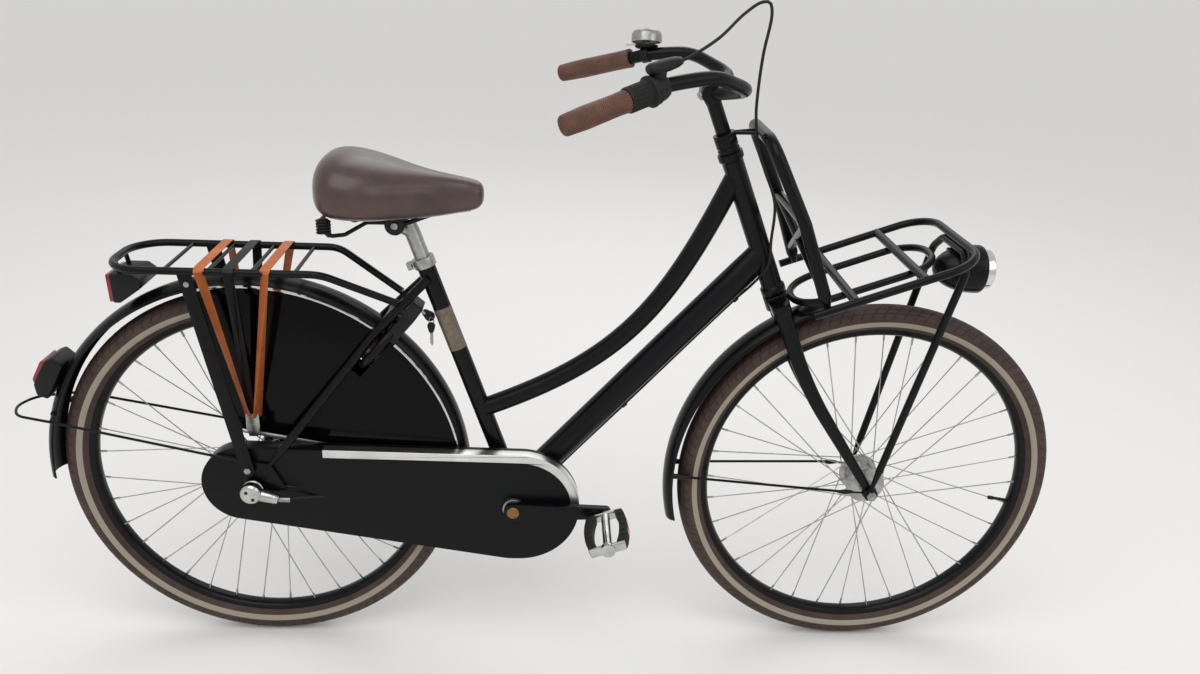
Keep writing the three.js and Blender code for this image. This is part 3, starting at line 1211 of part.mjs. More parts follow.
const twistFrom = grip.right + clear;
const twistTo = twistFrom + twist.length;
const twistBore = around(bar.radius, facets.round) + clear;
const twistForm = turned([
  [twistBore, twistFrom], [twist.radius, twistFrom], [twist.radius, twistTo - twist.flangeHeight],
  [twist.flange, twistTo - twist.flangeHeight], [twist.flange, twistTo], [twistBore, twistTo],
], barTip(RIGHT), barDir(RIGHT), facets.large);
const twistGroup = new THREE.Group();
twistGroup.add(mesh("twist_ring", twistForm, "rubber"));

const shifterFrom = twistTo + clear;
const barUp = (s) => Z.clone().addScaledVector(barDir(s), -barDir(s).z).normalize();
const podFrom = onBar(RIGHT, shifterFrom - twist.flangeHeight).addScaledVector(barUp(RIGHT),
  shifter.podLift + shifter.pod);
const podDir = barDir(RIGHT).multiplyScalar(cos(shifter.podTilt)).addScaledVector(barUp(RIGHT),
  sin(shifter.podTilt));
const podEnd = podFrom.clone().addScaledVector(podDir, shifter.podLength);
const upperRoute = [
  podEnd,
  podEnd.clone().addScaledVector(podDir, facets.round),
  v(768, -126, 1176),
  v(812, -82, 1210),
  v(840, -63, 1226),
  v(853, -60, 1226),
  v(858, -60, 1210),
  v(851, -60, 1150),
  v(849, -57, 1100),
  v(852, -46, 1050),
  meet.clone().addScaledVector(headDir, 34),
  meet.clone().addScaledVector(headDir, clear),
];
function shifterForm() {
  const body = turned([
    [around(bar.radius, facets.round), shifterFrom], [shifter.radius, shifterFrom],
      [shifter.radius, shifterFrom + shifter.length * 0.6],
    [shifter.radius * 0.8, shifterFrom + shifter.length], [around(bar.radius, facets.round),
      shifterFrom + shifter.length],
  ], barTip(RIGHT), barDir(RIGHT), facets.large);
  const half = shifter.length / 2;
  const neck = rod(onBar(RIGHT, shifterFrom + half).addScaledVector(barUp(RIGHT), shifter.radius * 0.85),
    podFrom.clone().addScaledVector(podDir, half * 1.4), shifter.pod * 0.8, facets.pin);
  const pod = tube([
    podFrom, podFrom.clone().addScaledVector(podDir, shifter.podNose),
      podFrom.clone().addScaledVector(podDir, shifter.podLength * 0.7), podEnd,
  ], [shifter.pod * 0.6, shifter.pod, shifter.pod, shifter.pod * 0.75], facets.pin);
  return cut(join(body, neck, pod), barForm(clear), cableForm(upperRoute, cable.upperSteps, clear));
}
fork.add(mesh("shifter_housing", shifterForm(), "plastic"));
fork.add(mesh("shift_cable_upper", cableForm(upperRoute, cable.upperSteps, 0), "rubber"));

// Bell.
const bellFoot = onBar(LEFT, bell.along);
const bellAxis = Z.clone().addScaledVector(Y, 0.25).normalize();
const bellBase = bellFoot.clone().addScaledVector(bellAxis, bar.radius + bell.strap);
function bellForm() {
  const { radius, height, wall, rim: low, post: pin, strap: band, strapWidth, base, baseTop } = bell;
  const dome = turned([
    [0, low + height], [radius * 0.55, low + height * 0.93], [radius * 0.88, low + height * 0.65],
      [radius, low + height * 0.2],
    [radius, low], [radius - wall, low], [radius - wall, low + height * 0.2],
      [radius * 0.8, low + height * 0.58],
    [pin, low + height * 0.8], [pin, 0], [0, 0],
  ], bellBase, bellAxis, facets.large);
  const foot = turned([[0, -band], [base * 0.8, -band], [base, 0], [base, baseTop], [0, baseTop]],
    bellBase, bellAxis, facets.round);
  const strapHalf = barDir(LEFT).multiplyScalar(strapWidth / 2);
  const strapBody = rod(bellFoot.clone().sub(strapHalf), bellFoot.clone().add(strapHalf),
    bar.radius + band, facets.round);
  return cut(join(dome, foot, strapBody), barForm(clear), bellPin(around(bellLever.radius, facets.pin),
    clear));
}
const leverOut = barDir(LEFT).negate().addScaledVector(bellAxis, barDir(LEFT).dot(bellAxis)).normalize();
const leverAt = bellBase.clone().addScaledVector(leverOut, bellLever.pivot);
function bellPin(radius, extra) {
  const top = bell.baseTop + clear + bellLever.thickness / 2;
  const low = bell.baseTop - bellLever.depth - extra;
  return rod(leverAt.clone().addScaledVector(bellAxis, low), leverAt.clone().addScaledVector(bellAxis,
    top), radius, facets.pin);
}
function bellLeverForm() {
  const { radius, length, width, thickness } = bellLever;
  const across = bellAxis.clone().cross(leverOut);
  const outline = [
    [-radius, -radius / 2], [0, -radius], [length * 0.7, -width / 2], [length, -width / 4],
    [length, width / 4], [length * 0.7, width / 2], [0, radius], [-radius, radius / 2],
  ];
  const tab = plate(outline, thickness, leverAt.clone().addScaledVector(bellAxis, bell.baseTop + clear),
    leverOut, across);
  return join(bellPin(radius, 0), tab);
}
fork.add(mesh("bell", bellForm(), "chrome"));
const bellGroup = new THREE.Group();
bellGroup.add(mesh("bell_lever", bellLeverForm(), "chrome"));

// Front carrier.
const rackZ = (x) => rack.levelZ + (x - rack.levelX) * tan(rack.slope);
const onRack = (x, y, drop = 0) => v(x, y, rackZ(x) - drop);
function rackRails(grow) {
  const path = bend([onRack(rack.rear, -rack.halfWidth), onRack(rack.front, -rack.halfWidth),
    onRack(rack.front, rack.halfWidth), onRack(rack.rear, rack.halfWidth)], rackBars.corner);
  return tube(path, rack.radius + grow, facets.rail);
}
function frontRackForm() {
  const bars = rackBars.places.map((x) => rod(onRack(x, -rack.halfWidth), onRack(x, rack.halfWidth),
    rackBars.radius, facets.rod));
  const middle = (rackHoop.rear + rackHoop.front) / 2;
  const { rear, front, halfWidth, drop, corner } = rackHoop;
  const start = onRack(middle, -halfWidth, drop);
  const corners = bend([
    start, onRack(front, -halfWidth, drop), onRack(front, halfWidth, drop),
    onRack(rear, halfWidth, drop), onRack(rear, -halfWidth, drop), start,
  ], corner).slice(1, -1);
  const hoop = tube(corners, rackHoop.radius, facets.rod, PI / facets.rod, true);
  const hanger = rod(onRack(rear, 0, drop), onHead(-crown.below).addScaledVector(X, crown.depth / 3),
    rackHoop.radius * 0.8, facets.rod);
  return cut(join(rackRails(0), hoop, ...bars, hanger), crownSpace);
}
const crownSpace = (() => {
  const forward = v(headDir.z, 0, -headDir.x);
  const grown = crown.depth / 2 + clear;
  const outline = belt([
    { x: -crown.halfWidth + crown.depth / 2, z: 0, r: grown },
    { x: crown.halfWidth - crown.depth / 2, z: 0, r: grown },
  ], 20 * degree);
  const block = plate(outline, crown.height + 2 * clear, onHead(-crown.below - crown.height / 2 - clear),
    Y, forward.negate());
  return join(block, tube([onHead(-crown.below - crown.height / 2 - clear), onHead(-headTube.below)],
    around(headTube.cup, facets.large), facets.large));
})();
fork.add(mesh("front_rack", frontRackForm(), "satin"));

function rackBackForm() {
  const { radius, brace, foot, footX, kneeX, kneeZ, topX, topZ } = rackBack;
  const footY = rack.halfWidth - rack.radius - foot - clear;
  const footAt = (s) => side(s, footX, footY, rackZ(footX));
  const kneeAt = (s) => side(s, kneeX, rackBackWidths.knee, kneeZ);
  const path = bend([footAt(RIGHT), kneeAt(RIGHT), side(RIGHT, topX, rackBackWidths.top, topZ),
    side(LEFT, topX, rackBackWidths.top, topZ), kneeAt(LEFT), footAt(LEFT)], rackBackBend, 24 * degree);
  const radii = path.map((_, i) => (i === 0 || i === path.length - 1 ? [foot, radius] : radius));
  const hoop = tube(path, radii, facets.pin);
  const cross = rod(kneeAt(RIGHT), kneeAt(LEFT), brace, facets.rod);
  const diagonal = (s) => rod(kneeAt(s), footAt(-s).lerp(kneeAt(-s), 0.22), brace, facets.rod);
  const ringAt = locknut.to + clear;
  const ringTop = ringAt + 2 * (tieRod.radius + clear);
  const bore = around(stem.radius, facets.round);
  const ring = turned([[bore, ringAt], [locknut.radius, ringAt], [locknut.radius, ringTop],
    [bore, ringTop]],
    headPoint, headDir, facets.round);
  const ringFront = onHead((ringAt + ringTop) / 2).addScaledVector(v(headDir.z, 0, -headDir.x),
    locknut.radius - 2);
  const ties = [RIGHT, LEFT].map((s) => rod(ringFront.clone().addScaledVector(Y, s * tieRod.spread / 2),
    v(topX, s * tieRod.spread * 2, topZ), tieRod.radius, facets.rod));
  return cut(join(hoop, cross, diagonal(RIGHT), diagonal(LEFT), ring, ...ties), rackRails(clear));
}
fork.add(mesh("front_rack_back", rackBackForm(), "satin"));

const rackStayTop = rackZ(rack.front) - rack.radius - clear - rackStay.radius;
function rackStayForm() {
  const { radius, footSide, kneeX, kneeWidth, foot, eyeGap } = rackStay;
  const footAt = (s) => side(s, frontAxle.x, eyeGap + footSide, frontAxle.z + axle.nut + 2 * clear);
  const kneeAt = (s) => side(s, kneeX, kneeWidth, rackStayTop - 26);
  const path = bend([
    footAt(RIGHT), footAt(RIGHT).lerp(kneeAt(RIGHT), 0.1), kneeAt(RIGHT),
      side(RIGHT, rack.front, 50, rackStayTop),
    side(LEFT, rack.front, 50, rackStayTop), kneeAt(LEFT), footAt(LEFT).lerp(kneeAt(LEFT), 0.1),
      footAt(LEFT),
  ], rackStay.bend);
  const radii = path.map((_, i) => (i === 0 || i === path.length - 1 ? [footSide, radius] : radius));
  const eyes = [RIGHT, LEFT].map((s) => crossRod(frontAxle.x, frontAxle.z, s * eyeGap,
    s * (eyeGap + 2 * footSide), foot, facets.round));
  return cut(join(tube(path, radii, facets.rod), ...eyes),
    crossRod(frontAxle.x, frontAxle.z, -overrun * 2, overrun * 2, around(axle.radius, facets.pin),
      facets.pin));
}
fork.add(mesh("front_rack_stays", rackStayForm(), "satin"));

function frontGuardForm() {
  const eyeLow = frontSpacing / 2 + forkEnd.thickness + clear;
  const eyeHigh = rackStay.eyeGap - clear;
  const wires = [RIGHT, LEFT].map((s) => {
    const eye = crossRod(frontAxle.x, frontAxle.z, s * eyeLow, s * eyeHigh, 9, facets.round);
    const from = guardEdge(frontAxle, 178 * degree, s);
    const middle = s * (eyeLow + eyeHigh) / 2;
    const wire = tube([from, v(frontAxle.x - 60, middle, frontAxle.z + 3),
      v(frontAxle.x - 6, middle, frontAxle.z)],
      [guardStay.radius, guardStay.radius, 1.5], facets.wire);
    const fitting = rod(from, from.clone().lerp(v(frontAxle.x, middle, frontAxle.z), 0.09),
      guard.fitting, facets.rod);
    return join(eye, wire, fitting);
  });
  const crownFoot = onHead(-crown.below - crown.height / 2);
  const angle = atan2(crownFoot.z - frontAxle.z, crownFoot.x - frontAxle.x);
  const hanger = rod(polar(frontAxle, guard.outer - guard.wall, angle), crownFoot, guard.hanger,
    facets.rod);
  const body = join(guardForm(frontAxle, frontGuard), ...wires, cut(hanger, crownSpace));
  return cut(body, crossRod(frontAxle.x, frontAxle.z, -overrun * 2, overrun * 2,
    around(axle.radius, facets.pin), facets.pin));
}
fork.add(mesh("front_fender", frontGuardForm(), "paint"));

// Headlight under the carrier's front bar.
const lampZ = rackStayTop - rackStay.radius - lamp.drop - lamp.radius *
  sqrt(1 - ((lamp.centreX - rack.front) / lamp.back) ** 2);
const lampAt = v(lamp.centreX, 0, lampZ);
function lampForm() {
  const { radius, back, skirt, ledge } = lamp;
  const rows = 6;
  const bullet = Array.from({ length: rows }, (_, i) => {
    const turn = (i / rows) * (PI / 2);
    return [radius * sin(turn), -back * cos(turn)];
  });
  const profile = [...bullet, [radius, 0], [radius, skirt], [radius - ledge, skirt],
    [radius - 2 * ledge, 0], [0, 0]];
  const body = turned(profile, lampAt, X, facets.large);
  const top = rackStayTop - rackStay.radius - clear;
  const bracketBlock = box(v(rack.front - 9, -11, lampZ + radius * 0.6), v(rack.front + 9, 11, top));
  return join(body, bracketBlock);
}
function bezelForm() {
  const { radius, bezel, skirt, lens, ledge } = lamp;
  const from = skirt + clear;
  return turned([
    [0, from - ledge], [lens - 2 * ledge, from - ledge], [lens, from], [radius, from],
      [radius, from + bezel * 0.7], [radius - ledge, from + bezel],
    [lens, from + bezel], [lens * 0.8, from + bezel * 0.8], [0, from + bezel],
  ], lampAt, X, facets.large);
}
fork.add(mesh("headlight_shell", lampForm(), "satin"));
fork.add(mesh("headlight_bezel", bezelForm(), "chrome"));

function frontAxleForm() {
  const out = rackStay.eyeGap + 2 * rackStay.footSide + clear;
  const cone = (s) => crossRod(frontAxle.x, frontAxle.z, s * (frontHub.left + clear),
    s * (frontSpacing / 2 - 4 * clear), axle.nut, facets.pin);
  const nut = (s) => crossRod(frontAxle.x, frontAxle.z, s * out, s * (out + axle.nutHeight), axle.nut,
    facets.rod);
  const end = out + axle.nutHeight + 3;
  return join(crossRod(frontAxle.x, frontAxle.z, -end, end, axle.radius), cone(RIGHT), cone(LEFT),
    nut(RIGHT), nut(LEFT));
}
fork.add(mesh("front_axle", frontAxleForm(), "steel"));

const bike = new THREE.Group();
bike.add(frame, fork, shackleGroup, keyGroup, standGroup, saddleGroup, twistGroup, bellGroup);
bike.add(wheel("rear", rearHub, lockPhase, rearAxle), wheel("front", frontHub, 0, frontAxle));
bike.add(sprocketGroup, crankGroup, pedalGroup("right_pedal", RIGHT), pedalGroup("left_pedal", LEFT));
const bounds = new THREE.Box3().setFromObject(bike);
bike.position.x = -(bounds.min.x + bounds.max.x) / 2;

export default bike;
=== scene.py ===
from math import asin, atan2, ceil, cos, hypot, pi, radians, sin, sqrt, tan

import bpy
from mathutils import Matrix, Vector


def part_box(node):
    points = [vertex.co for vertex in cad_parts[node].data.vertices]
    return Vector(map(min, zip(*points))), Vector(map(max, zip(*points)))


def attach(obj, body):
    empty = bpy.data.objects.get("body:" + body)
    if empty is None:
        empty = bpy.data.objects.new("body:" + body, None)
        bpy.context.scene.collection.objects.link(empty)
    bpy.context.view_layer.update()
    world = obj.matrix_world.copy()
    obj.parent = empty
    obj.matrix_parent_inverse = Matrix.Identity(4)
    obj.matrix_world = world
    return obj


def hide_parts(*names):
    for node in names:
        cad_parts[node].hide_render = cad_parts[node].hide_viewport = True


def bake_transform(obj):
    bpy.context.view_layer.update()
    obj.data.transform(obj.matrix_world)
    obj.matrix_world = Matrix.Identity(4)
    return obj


for name in ("Cube", "Light", "Camera"):  # Blender's own start-up objects
    if name in bpy.data.objects:
        bpy.data.objects.remove(bpy.data.objects[name], do_unlink=True)
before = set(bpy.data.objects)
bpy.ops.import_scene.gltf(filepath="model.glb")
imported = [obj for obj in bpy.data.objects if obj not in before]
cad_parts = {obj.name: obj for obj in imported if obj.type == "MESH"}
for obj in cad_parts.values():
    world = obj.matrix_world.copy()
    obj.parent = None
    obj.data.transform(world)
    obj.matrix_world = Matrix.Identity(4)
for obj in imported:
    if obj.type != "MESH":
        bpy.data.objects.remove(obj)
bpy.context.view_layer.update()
print("frame loaded")

# Places are in mm from the floor point under the rear axle: x forward, y to the left, z up.
mm = 0.001
rightSide, leftSide = -1, 1
bothSides = (rightSide, leftSide)
sideNames = {rightSide: "right", leftSide: "left"}
tyreLow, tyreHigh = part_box("rear_tyre")
originX = (tyreLow.x + tyreHigh.x) / 2


def at(x, y, z):
    return Vector((x, y, z))


def inFrame(p):
    return at(p[0] * mm + originX, p[1] * mm, p[2] * mm)


layout = {
    "wheelRadius": 358, "bracketX": 468, "bracketZ": 320, "headX": 876, "headZ": 852,
    "headAngle": radians(67.5), "seatAngle": radians(70.4), "rake": 52, "clear": 0.3,
}
unitX, unitY, unitZ = at(1, 0, 0), at(0, 1, 0), at(0, 0, 1)
seatDir = at(-cos(layout["seatAngle"]), 0, sin(layout["seatAngle"]))
headDir = at(-cos(layout["headAngle"]), 0, sin(layout["headAngle"]))
headForward = at(headDir.z, 0, -headDir.x)
bracket = at(layout["bracketX"], 0, layout["bracketZ"])
headPoint = at(layout["headX"], 0, layout["headZ"])
rearAxle = at(0, 0, layout["wheelRadius"])


def onHead(run):
    return headPoint + headDir * run


def onSeat(run):
    return bracket + seatDir * run


frontAxle = onHead((layout["wheelRadius"] - headPoint.z) / headDir.z) + unitX * (layout["rake"] / headDir.z)


def sided(s, x, y, z):
    return at(x, s * y, z)


def mirrored(spots, middle=()):  # a line from the right side over to the left
    return [*(sided(rightSide, *spot) for spot in spots), *middle,
            *(sided(leftSide, *spot) for spot in reversed(spots))]


def polar(centre, radius, angle, y=0.0):
    return at(centre.x + radius * cos(angle), y, centre.z + radius * sin(angle))


def bent(points, radius, step=radians(8)):  # a line through the points with its corners rounded
    made = [points[0]]
    for i in range(1, len(points) - 1):
        before = points[i - 1] - points[i]
        after = points[i + 1] - points[i]
        turn = pi - before.angle(after)
        if turn < radians(1):
            made.append(points[i])
            continue
        reach = min(radius * tan(turn / 2), before.length * 0.49, after.length * 0.49)
        start = points[i] + before.normalized() * reach
        end = points[i] + after.normalized() * reach
        arc = reach / tan(turn / 2)
        centre = points[i] + (before.normalized() + after.normalized()).normalized() * hypot(reach, arc)
        count = max(2, ceil(turn / step))
        for k in range(count + 1):
            share = k / count
            weights = [sin((1 - share) * turn) / sin(turn), sin(share * turn) / sin(turn)]
            made.append(centre + (start - centre) * weights[0] + (end - centre) * weights[1])
    made.append(points[-1])
    return made


def spaced(path, count):  # the same line with evenly spaced points
    runs = [0.0]
    for a, b in zip(path, path[1:]):
        runs.append(runs[-1] + (b - a).length)
    made = []
    k = 0
    for i in range(count + 1):
        want = runs[-1] * i / count
        while k < len(path) - 2 and runs[k + 1] < want:
            k += 1
        made.append(path[k].lerp(path[k + 1], (want - runs[k]) / max(runs[k + 1] - runs[k], 1e-9)))
    return made


def flowing(points, count):  # a smooth line through the points
    ends = [points[0] * 2 - points[1], *points, points[-1] * 2 - points[-2]]
    fine = []
    for i in range(len(points) - 1):
        a, b, c, d = ends[i:i + 4]
        x, y, z = (max((after - before).length ** 0.5, 1e-4) for before, after in ((a, b), (b, c), (c, d)))
        m = ((b - a) / x - (c - a) / (x + y) + (c - b) / y) * y
        n = ((c - b) / y - (d - b) / (y + z) + (d - c) / z) * y
        for k in range(12):
            t = k / 12
            fine.append(b + m * t + (c * 3 - b * 3 - m * 2 - n) * t ** 2 + (b * 2 - c * 2 + m + n) * t ** 3)
    return spaced([*fine, points[-1]], count)


def bezier(points, count):
    a, b, c, d = points
    made = []
    for k in range(count + 1):
        t = k / count
        made.append(a * (1 - t) ** 3 + b * 3 * t * (1 - t) ** 2 + c * 3 * t * t * (1 - t) + d * t ** 3)
    return made


def belt(discs, step=radians(5)):  # outline round a row of discs (x, z, radius)
    outline = []
    for i, (x, z, r) in enumerate(discs):
        before, after = discs[i - 1], discs[(i + 1) % len(discs)]

        def tangent(a, b):
            run = hypot(b[0] - a[0], b[1] - a[1])
            return atan2(b[1] - a[1], b[0] - a[0]) - pi / 2 - asin((b[2] - a[2]) / run)

        start = tangent(before, discs[i])
        turn = (tangent(discs[i], after) - start) % (2 * pi)
        count = max(1, ceil(turn / step))
        for k in range(count + 1):
            angle = start + turn * k / count
            outline.append((x + r * cos(angle), z + r * sin(angle)))
    return outline


def clearSelection():
    if bpy.context.object and bpy.context.object.mode != "OBJECT":
        bpy.ops.object.mode_set(mode="OBJECT")
    bpy.ops.object.select_all(action="DESELECT")


def only(obj):
    clearSelection()
    obj.select_set(True)
    bpy.context.view_layer.objects.active = obj
    return obj


def settled(obj, place):  # the place goes into the mesh
    obj.matrix_world = place
    only(obj)
    bpy.ops.object.transform_apply(location=True, rotation=True, scale=True)
    return obj


def painted(obj, look):
    obj.data.materials.clear()
    obj.data.materials.append(look["material"])
    return obj


def modified(obj, kind, **settings):
    only(obj)
    modifier = obj.modifiers.new(kind.title(), kind)
    for key, value in settings.items():
        setattr(modifier, key, value)
    bpy.ops.object.modifier_apply(modifier=modifier.name)
    return obj


def rounded(obj, width, segments=2, angle=30):
    if not width:
        return obj
    return modified(obj, "BEVEL", width=width * mm, segments=segments, limit_method="ANGLE",
                    angle_limit=radians(angle))


def edited(obj, *steps):  # each step is an edit-mode operator with its settings
    only(obj)
    bpy.ops.object.mode_set(mode="EDIT")
    bpy.ops.mesh.select_all(action="SELECT")
    for operator, settings in steps:
        operator(**settings)
    bpy.ops.object.mode_set(mode="OBJECT")
    return obj


def welded(obj):
    return edited(obj, (bpy.ops.mesh.remove_doubles, {"threshold": 0.00001}),
                  (bpy.ops.mesh.normals_make_consistent, {"inside": False}))


def spun(obj, steps, angle, axis):
    turning = {"steps": steps, "angle": angle, "center": (0, 0, 0), "axis": axis}
    return welded(edited(obj, (bpy.ops.mesh.spin, turning)))


def newCurve(name, outlines, dimensions="3D", loop=False):  # outlines in metres
    clearSelection()
    bpy.ops.curve.primitive_nurbs_path_add(location=(0, 0, 0))
    obj = bpy.context.object
    obj.name = name
    obj.data.dimensions = dimensions
    obj.data.splines.clear()
    for outline in outlines:
        spline = obj.data.splines.new("POLY")
        spline.points.add(len(outline) - 1)
        for point, spot in zip(spline.points, outline):
            point.co = (*spot, 1)
            point.radius = 1
        spline.use_cyclic_u = loop
    return obj


def drawn(name, path, radii=None, loop=False):
    obj = newCurve(name, [[inFrame(p) for p in path]], "3D", loop)
    for point, share in zip(obj.data.splines[0].points, radii or []):
        point.radius = share
    obj.data.use_fill_caps = True
    return obj


def asMesh(obj):
    only(obj)
    bpy.ops.object.convert(target="MESH")
    return bpy.context.object


def tubed(name, path, radius, look, radii=None, loop=False, sides=6):
    largest = max(radii) if radii else radius
    obj = drawn(name, path, [r / largest for r in radii] if radii else None, loop)
    obj.data.twist_mode = "MINIMUM"
    obj.data.bevel_depth = largest * mm
    obj.data.bevel_resolution = sides
    return painted(welded(asMesh(obj)), look)


def swept(line, section, look):  # the section is another curve, and is used up
    line.data.twist_mode = "Z_UP"
    line.data.bevel_mode = "OBJECT"
    line.data.bevel_object = section
    made = asMesh(line)
    bpy.data.objects.remove(section, do_unlink=True)
    return painted(welded(made), look)


def ovalTube(name, path, halves, look, radii):
    line = drawn(name, path, radii)
    clearSelection()
    bpy.ops.curve.primitive_bezier_circle_add(radius=1)
    section = bpy.context.object
    section.scale = (halves[0] * mm, halves[1] * mm, 1)
    bpy.ops.object.transform_apply(scale=True)
    section.data.resolution_u = 8
    return swept(line, section, look)


def rod(name, a, b, radius, look, sides=6, edge=0.0):
    return rounded(tubed(name, [a, b], radius, look, sides=sides), edge)


def crossRod(name, x, z, y0, y1, radius, look, sides=6, edge=0.0):
    return rod(name, at(x, y0, z), at(x, y1, z), radius, look, sides, edge)


def crossRods(x, z, rows):  # rows of name, first y, last y, radius, finish, smoothness and edge
    return [crossRod(entry[0], x, z, *entry[1:]) for entry in rows]


def turnTo(direction):
    return unitZ.rotation_difference(direction).to_matrix().to_4x4()


def turned(name, profile, centre, axis, look, steps=48, edge=0.0):  # profile of (radius, height), spun
    outline = [at(r * mm, 0, h * mm) for r, h in profile]
    made = spun(asMesh(newCurve(name, [outline], "3D", profile[0][0] > 0)), steps, 2 * pi, (0, 0, 1))
    settled(made, Matrix.Translation(inFrame(centre)) @ turnTo(axis))
    return rounded(painted(made, look), edge)


def flat(name, outlines, thickness, origin, across, up, look, edge=0.0):  # the first outline is the outside
    obj = newCurve(name, [[(a * mm, b * mm, 0) for a, b in outline] for outline in outlines], "2D", True)
    obj.data.fill_mode = "BOTH"
    obj.data.extrude = thickness * mm / 2
    made = welded(asMesh(obj))
    out = across.cross(up)
    place = Matrix((across, up, out)).transposed().to_4x4()
    place.translation = inFrame(origin) + out * (thickness * mm / 2)
    return rounded(painted(settled(made, place), look), edge)


def sideFlat(name, outlines, y0, y1, look, edge=0.0):
    low, high = sorted((y0, y1))
    return flat(name, outlines, high - low, at(0, high, 0), unitX, unitZ, look, edge)


def block(name, low, high, look, edge=1.0):
    outline = [(low[0], low[2]), (high[0], low[2]), (high[0], high[2]), (low[0], high[2])]
    return sideFlat(name, [outline], low[1], high[1], look, edge)


def without(obj, *cutters):  # cutters are used up
    for cutter in cutters:
        modified(obj, "BOOLEAN", operation="DIFFERENCE", object=cutter, solver="EXACT")
        bpy.data.objects.remove(cutter, do_unlink=True)
    return obj


def atOrigin(obj):
    obj.data.transform(Matrix.Translation(-inFrame((0, 0, 0))))
    return obj


def copyPlaced(obj, matrix):  # a further copy with its own mesh
    other = bpy.data.objects.new(obj.name, obj.data.copy())
    other.data.transform(matrix)
    bpy.context.scene.collection.objects.link(other)
    return other


def joined(name, parts):
    only(parts[0])
    for part in parts:
        part.select_set(True)
    if len(parts) > 1:
        bpy.ops.object.join()
    made = bpy.context.object
    made.name = made.data.name = name
    return made


def placed(name, parts, body, nodes, angle=35):
    made = only(joined(name, parts))
    bpy.ops.object.shade_smooth_by_angle(angle=radians(angle))
    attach(made, body)
    if nodes:
        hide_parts(*nodes)
    return made


def dress(node, parts, body):
    return placed(node + "_skin", parts, body, [node])


def linear(code):
    parts = [int(code[i:i + 2], 16) / 255 for i in (0, 2, 4)]
    return tuple(c / 12.92 if c <= 0.04045 else ((c + 0.055) / 1.055) ** 2.4 for c in parts) + (1.0,)


def addNode(tree, kind, settings=None, links=None):
    node = tree.nodes.new(kind)
    for key, value in (settings or {}).items():
        if isinstance(key, str) and hasattr(node, key):
            setattr(node, key, value)
        else:
            node.inputs[key].default_value = value
    for key, source in (links or {}).items():
        tree.links.new(source, node.inputs[key])
    return node


def maths(tree, operation, a, b=None):
    node = addNode(tree, "ShaderNodeMath", {"operation": operation})
    for i, value in enumerate((a, b)):
        if isinstance(value, (int, float)):
            node.inputs[i].default_value = value
        elif value is not None:
            tree.links.new(value, node.inputs[i])
    return node.outputs[0]


def finish(name, base, shade, rough, metallic=0.0, patch=70, grain=0.8, bump=0.02, coat=0.0, coatRough=0.1,
           ior=1.5):
    # base and shade are the colour's two ends, rough its two ends, patch and grain the sizes of
    # the broad and fine unevenness in mm, bump the fine grain's depth in mm
    material = bpy.data.materials.new(name)
    material.use_nodes = True
    tree = material.node_tree
    shader = tree.nodes["Principled BSDF"]
    shader.inputs["Metallic"].default_value = metallic
    if metallic < 0.5:
        shader.inputs["IOR"].default_value = ior
    shader.inputs["Coat Weight"].default_value = coat
    shader.inputs["Coat Roughness"].default_value = coatRough
    place = addNode(tree, "ShaderNodeTexCoord").outputs["Object"]
    broad = addNode(tree, "ShaderNodeTexNoise", {"Scale": 1 / (patch * mm), "Detail": 4.0, "Roughness": 0.6},
                    {"Vector": place})
    fine = addNode(tree, "ShaderNodeTexNoise", {"Scale": 1 / (grain * mm), "Detail": 2.0, "Roughness": 0.5},
                   {"Vector": place})
    blendIn = addNode(tree, "ShaderNodeMapRange", {"From Min": 0.35, "From Max": 0.65},
                      {"Value": broad.outputs["Fac"]})
    colour = addNode(tree, "ShaderNodeMix", {"data_type": "RGBA", 6: linear(base), 7: linear(shade)},
                     {0: blendIn.outputs[0]})
    spread = {"From Min": 0.3, "From Max": 0.7, "To Min": rough[0], "To Max": rough[1]}
    roughness = addNode(tree, "ShaderNodeMapRange", spread, {"Value": broad.outputs["Fac"]})
    relief = addNode(tree, "ShaderNodeBump", {"Strength": 1.0, "Distance": bump * mm},
                     {"Height": fine.outputs["Fac"]})
    tree.links.new(colour.outputs[2], shader.inputs["Base Color"])
    tree.links.new(roughness.outputs[0], shader.inputs["Roughness"])
    tree.links.new(relief.outputs[0], shader.inputs["Normal"])
    return {"material": material, "tree": tree, "shader": shader, "place": place, "colour": colour,
            "relief": relief}


def roundCoords(tree, place, centre, axis):  # angle about an axis, height along it and distance from it
    turn = axis.rotation_difference(unitZ)
    shift = -(turn.to_matrix() @ inFrame(centre))
    mapping = addNode(tree, "ShaderNodeMapping", {"Location": shift, "Rotation": turn.to_euler()},
                      {"Vector": place})
    x, y, z = addNode(tree, "ShaderNodeSeparateXYZ", None, {"Vector": mapping.outputs[0]}).outputs
    squares = maths(tree, "ADD", maths(tree, "MULTIPLY", x, x), maths(tree, "MULTIPLY", y, y))
    return maths(tree, "ARCTAN2", y, x), z, maths(tree, "SQRT", squares)


def addRelief(look, height, depth):  # a second bump over the grain, depth in mm
    over = addNode(look["tree"], "ShaderNodeBump", {"Strength": 1.0, "Distance": depth * mm},
                   {"Height": height, "Normal": look["relief"].outputs[0]})
    look["tree"].links.new(over.outputs[0], look["shader"].inputs["Normal"])
    look["relief"] = over


def tint(look, mask, code):  # another colour where the mask is 1
    over = addNode(look["tree"], "ShaderNodeMix", {"data_type": "RGBA", 7: linear(code)},
                   {0: mask, 6: look["colour"].outputs[2]})
    look["tree"].links.new(over.outputs[2], look["shader"].inputs["Base Color"])
    look["colour"] = over


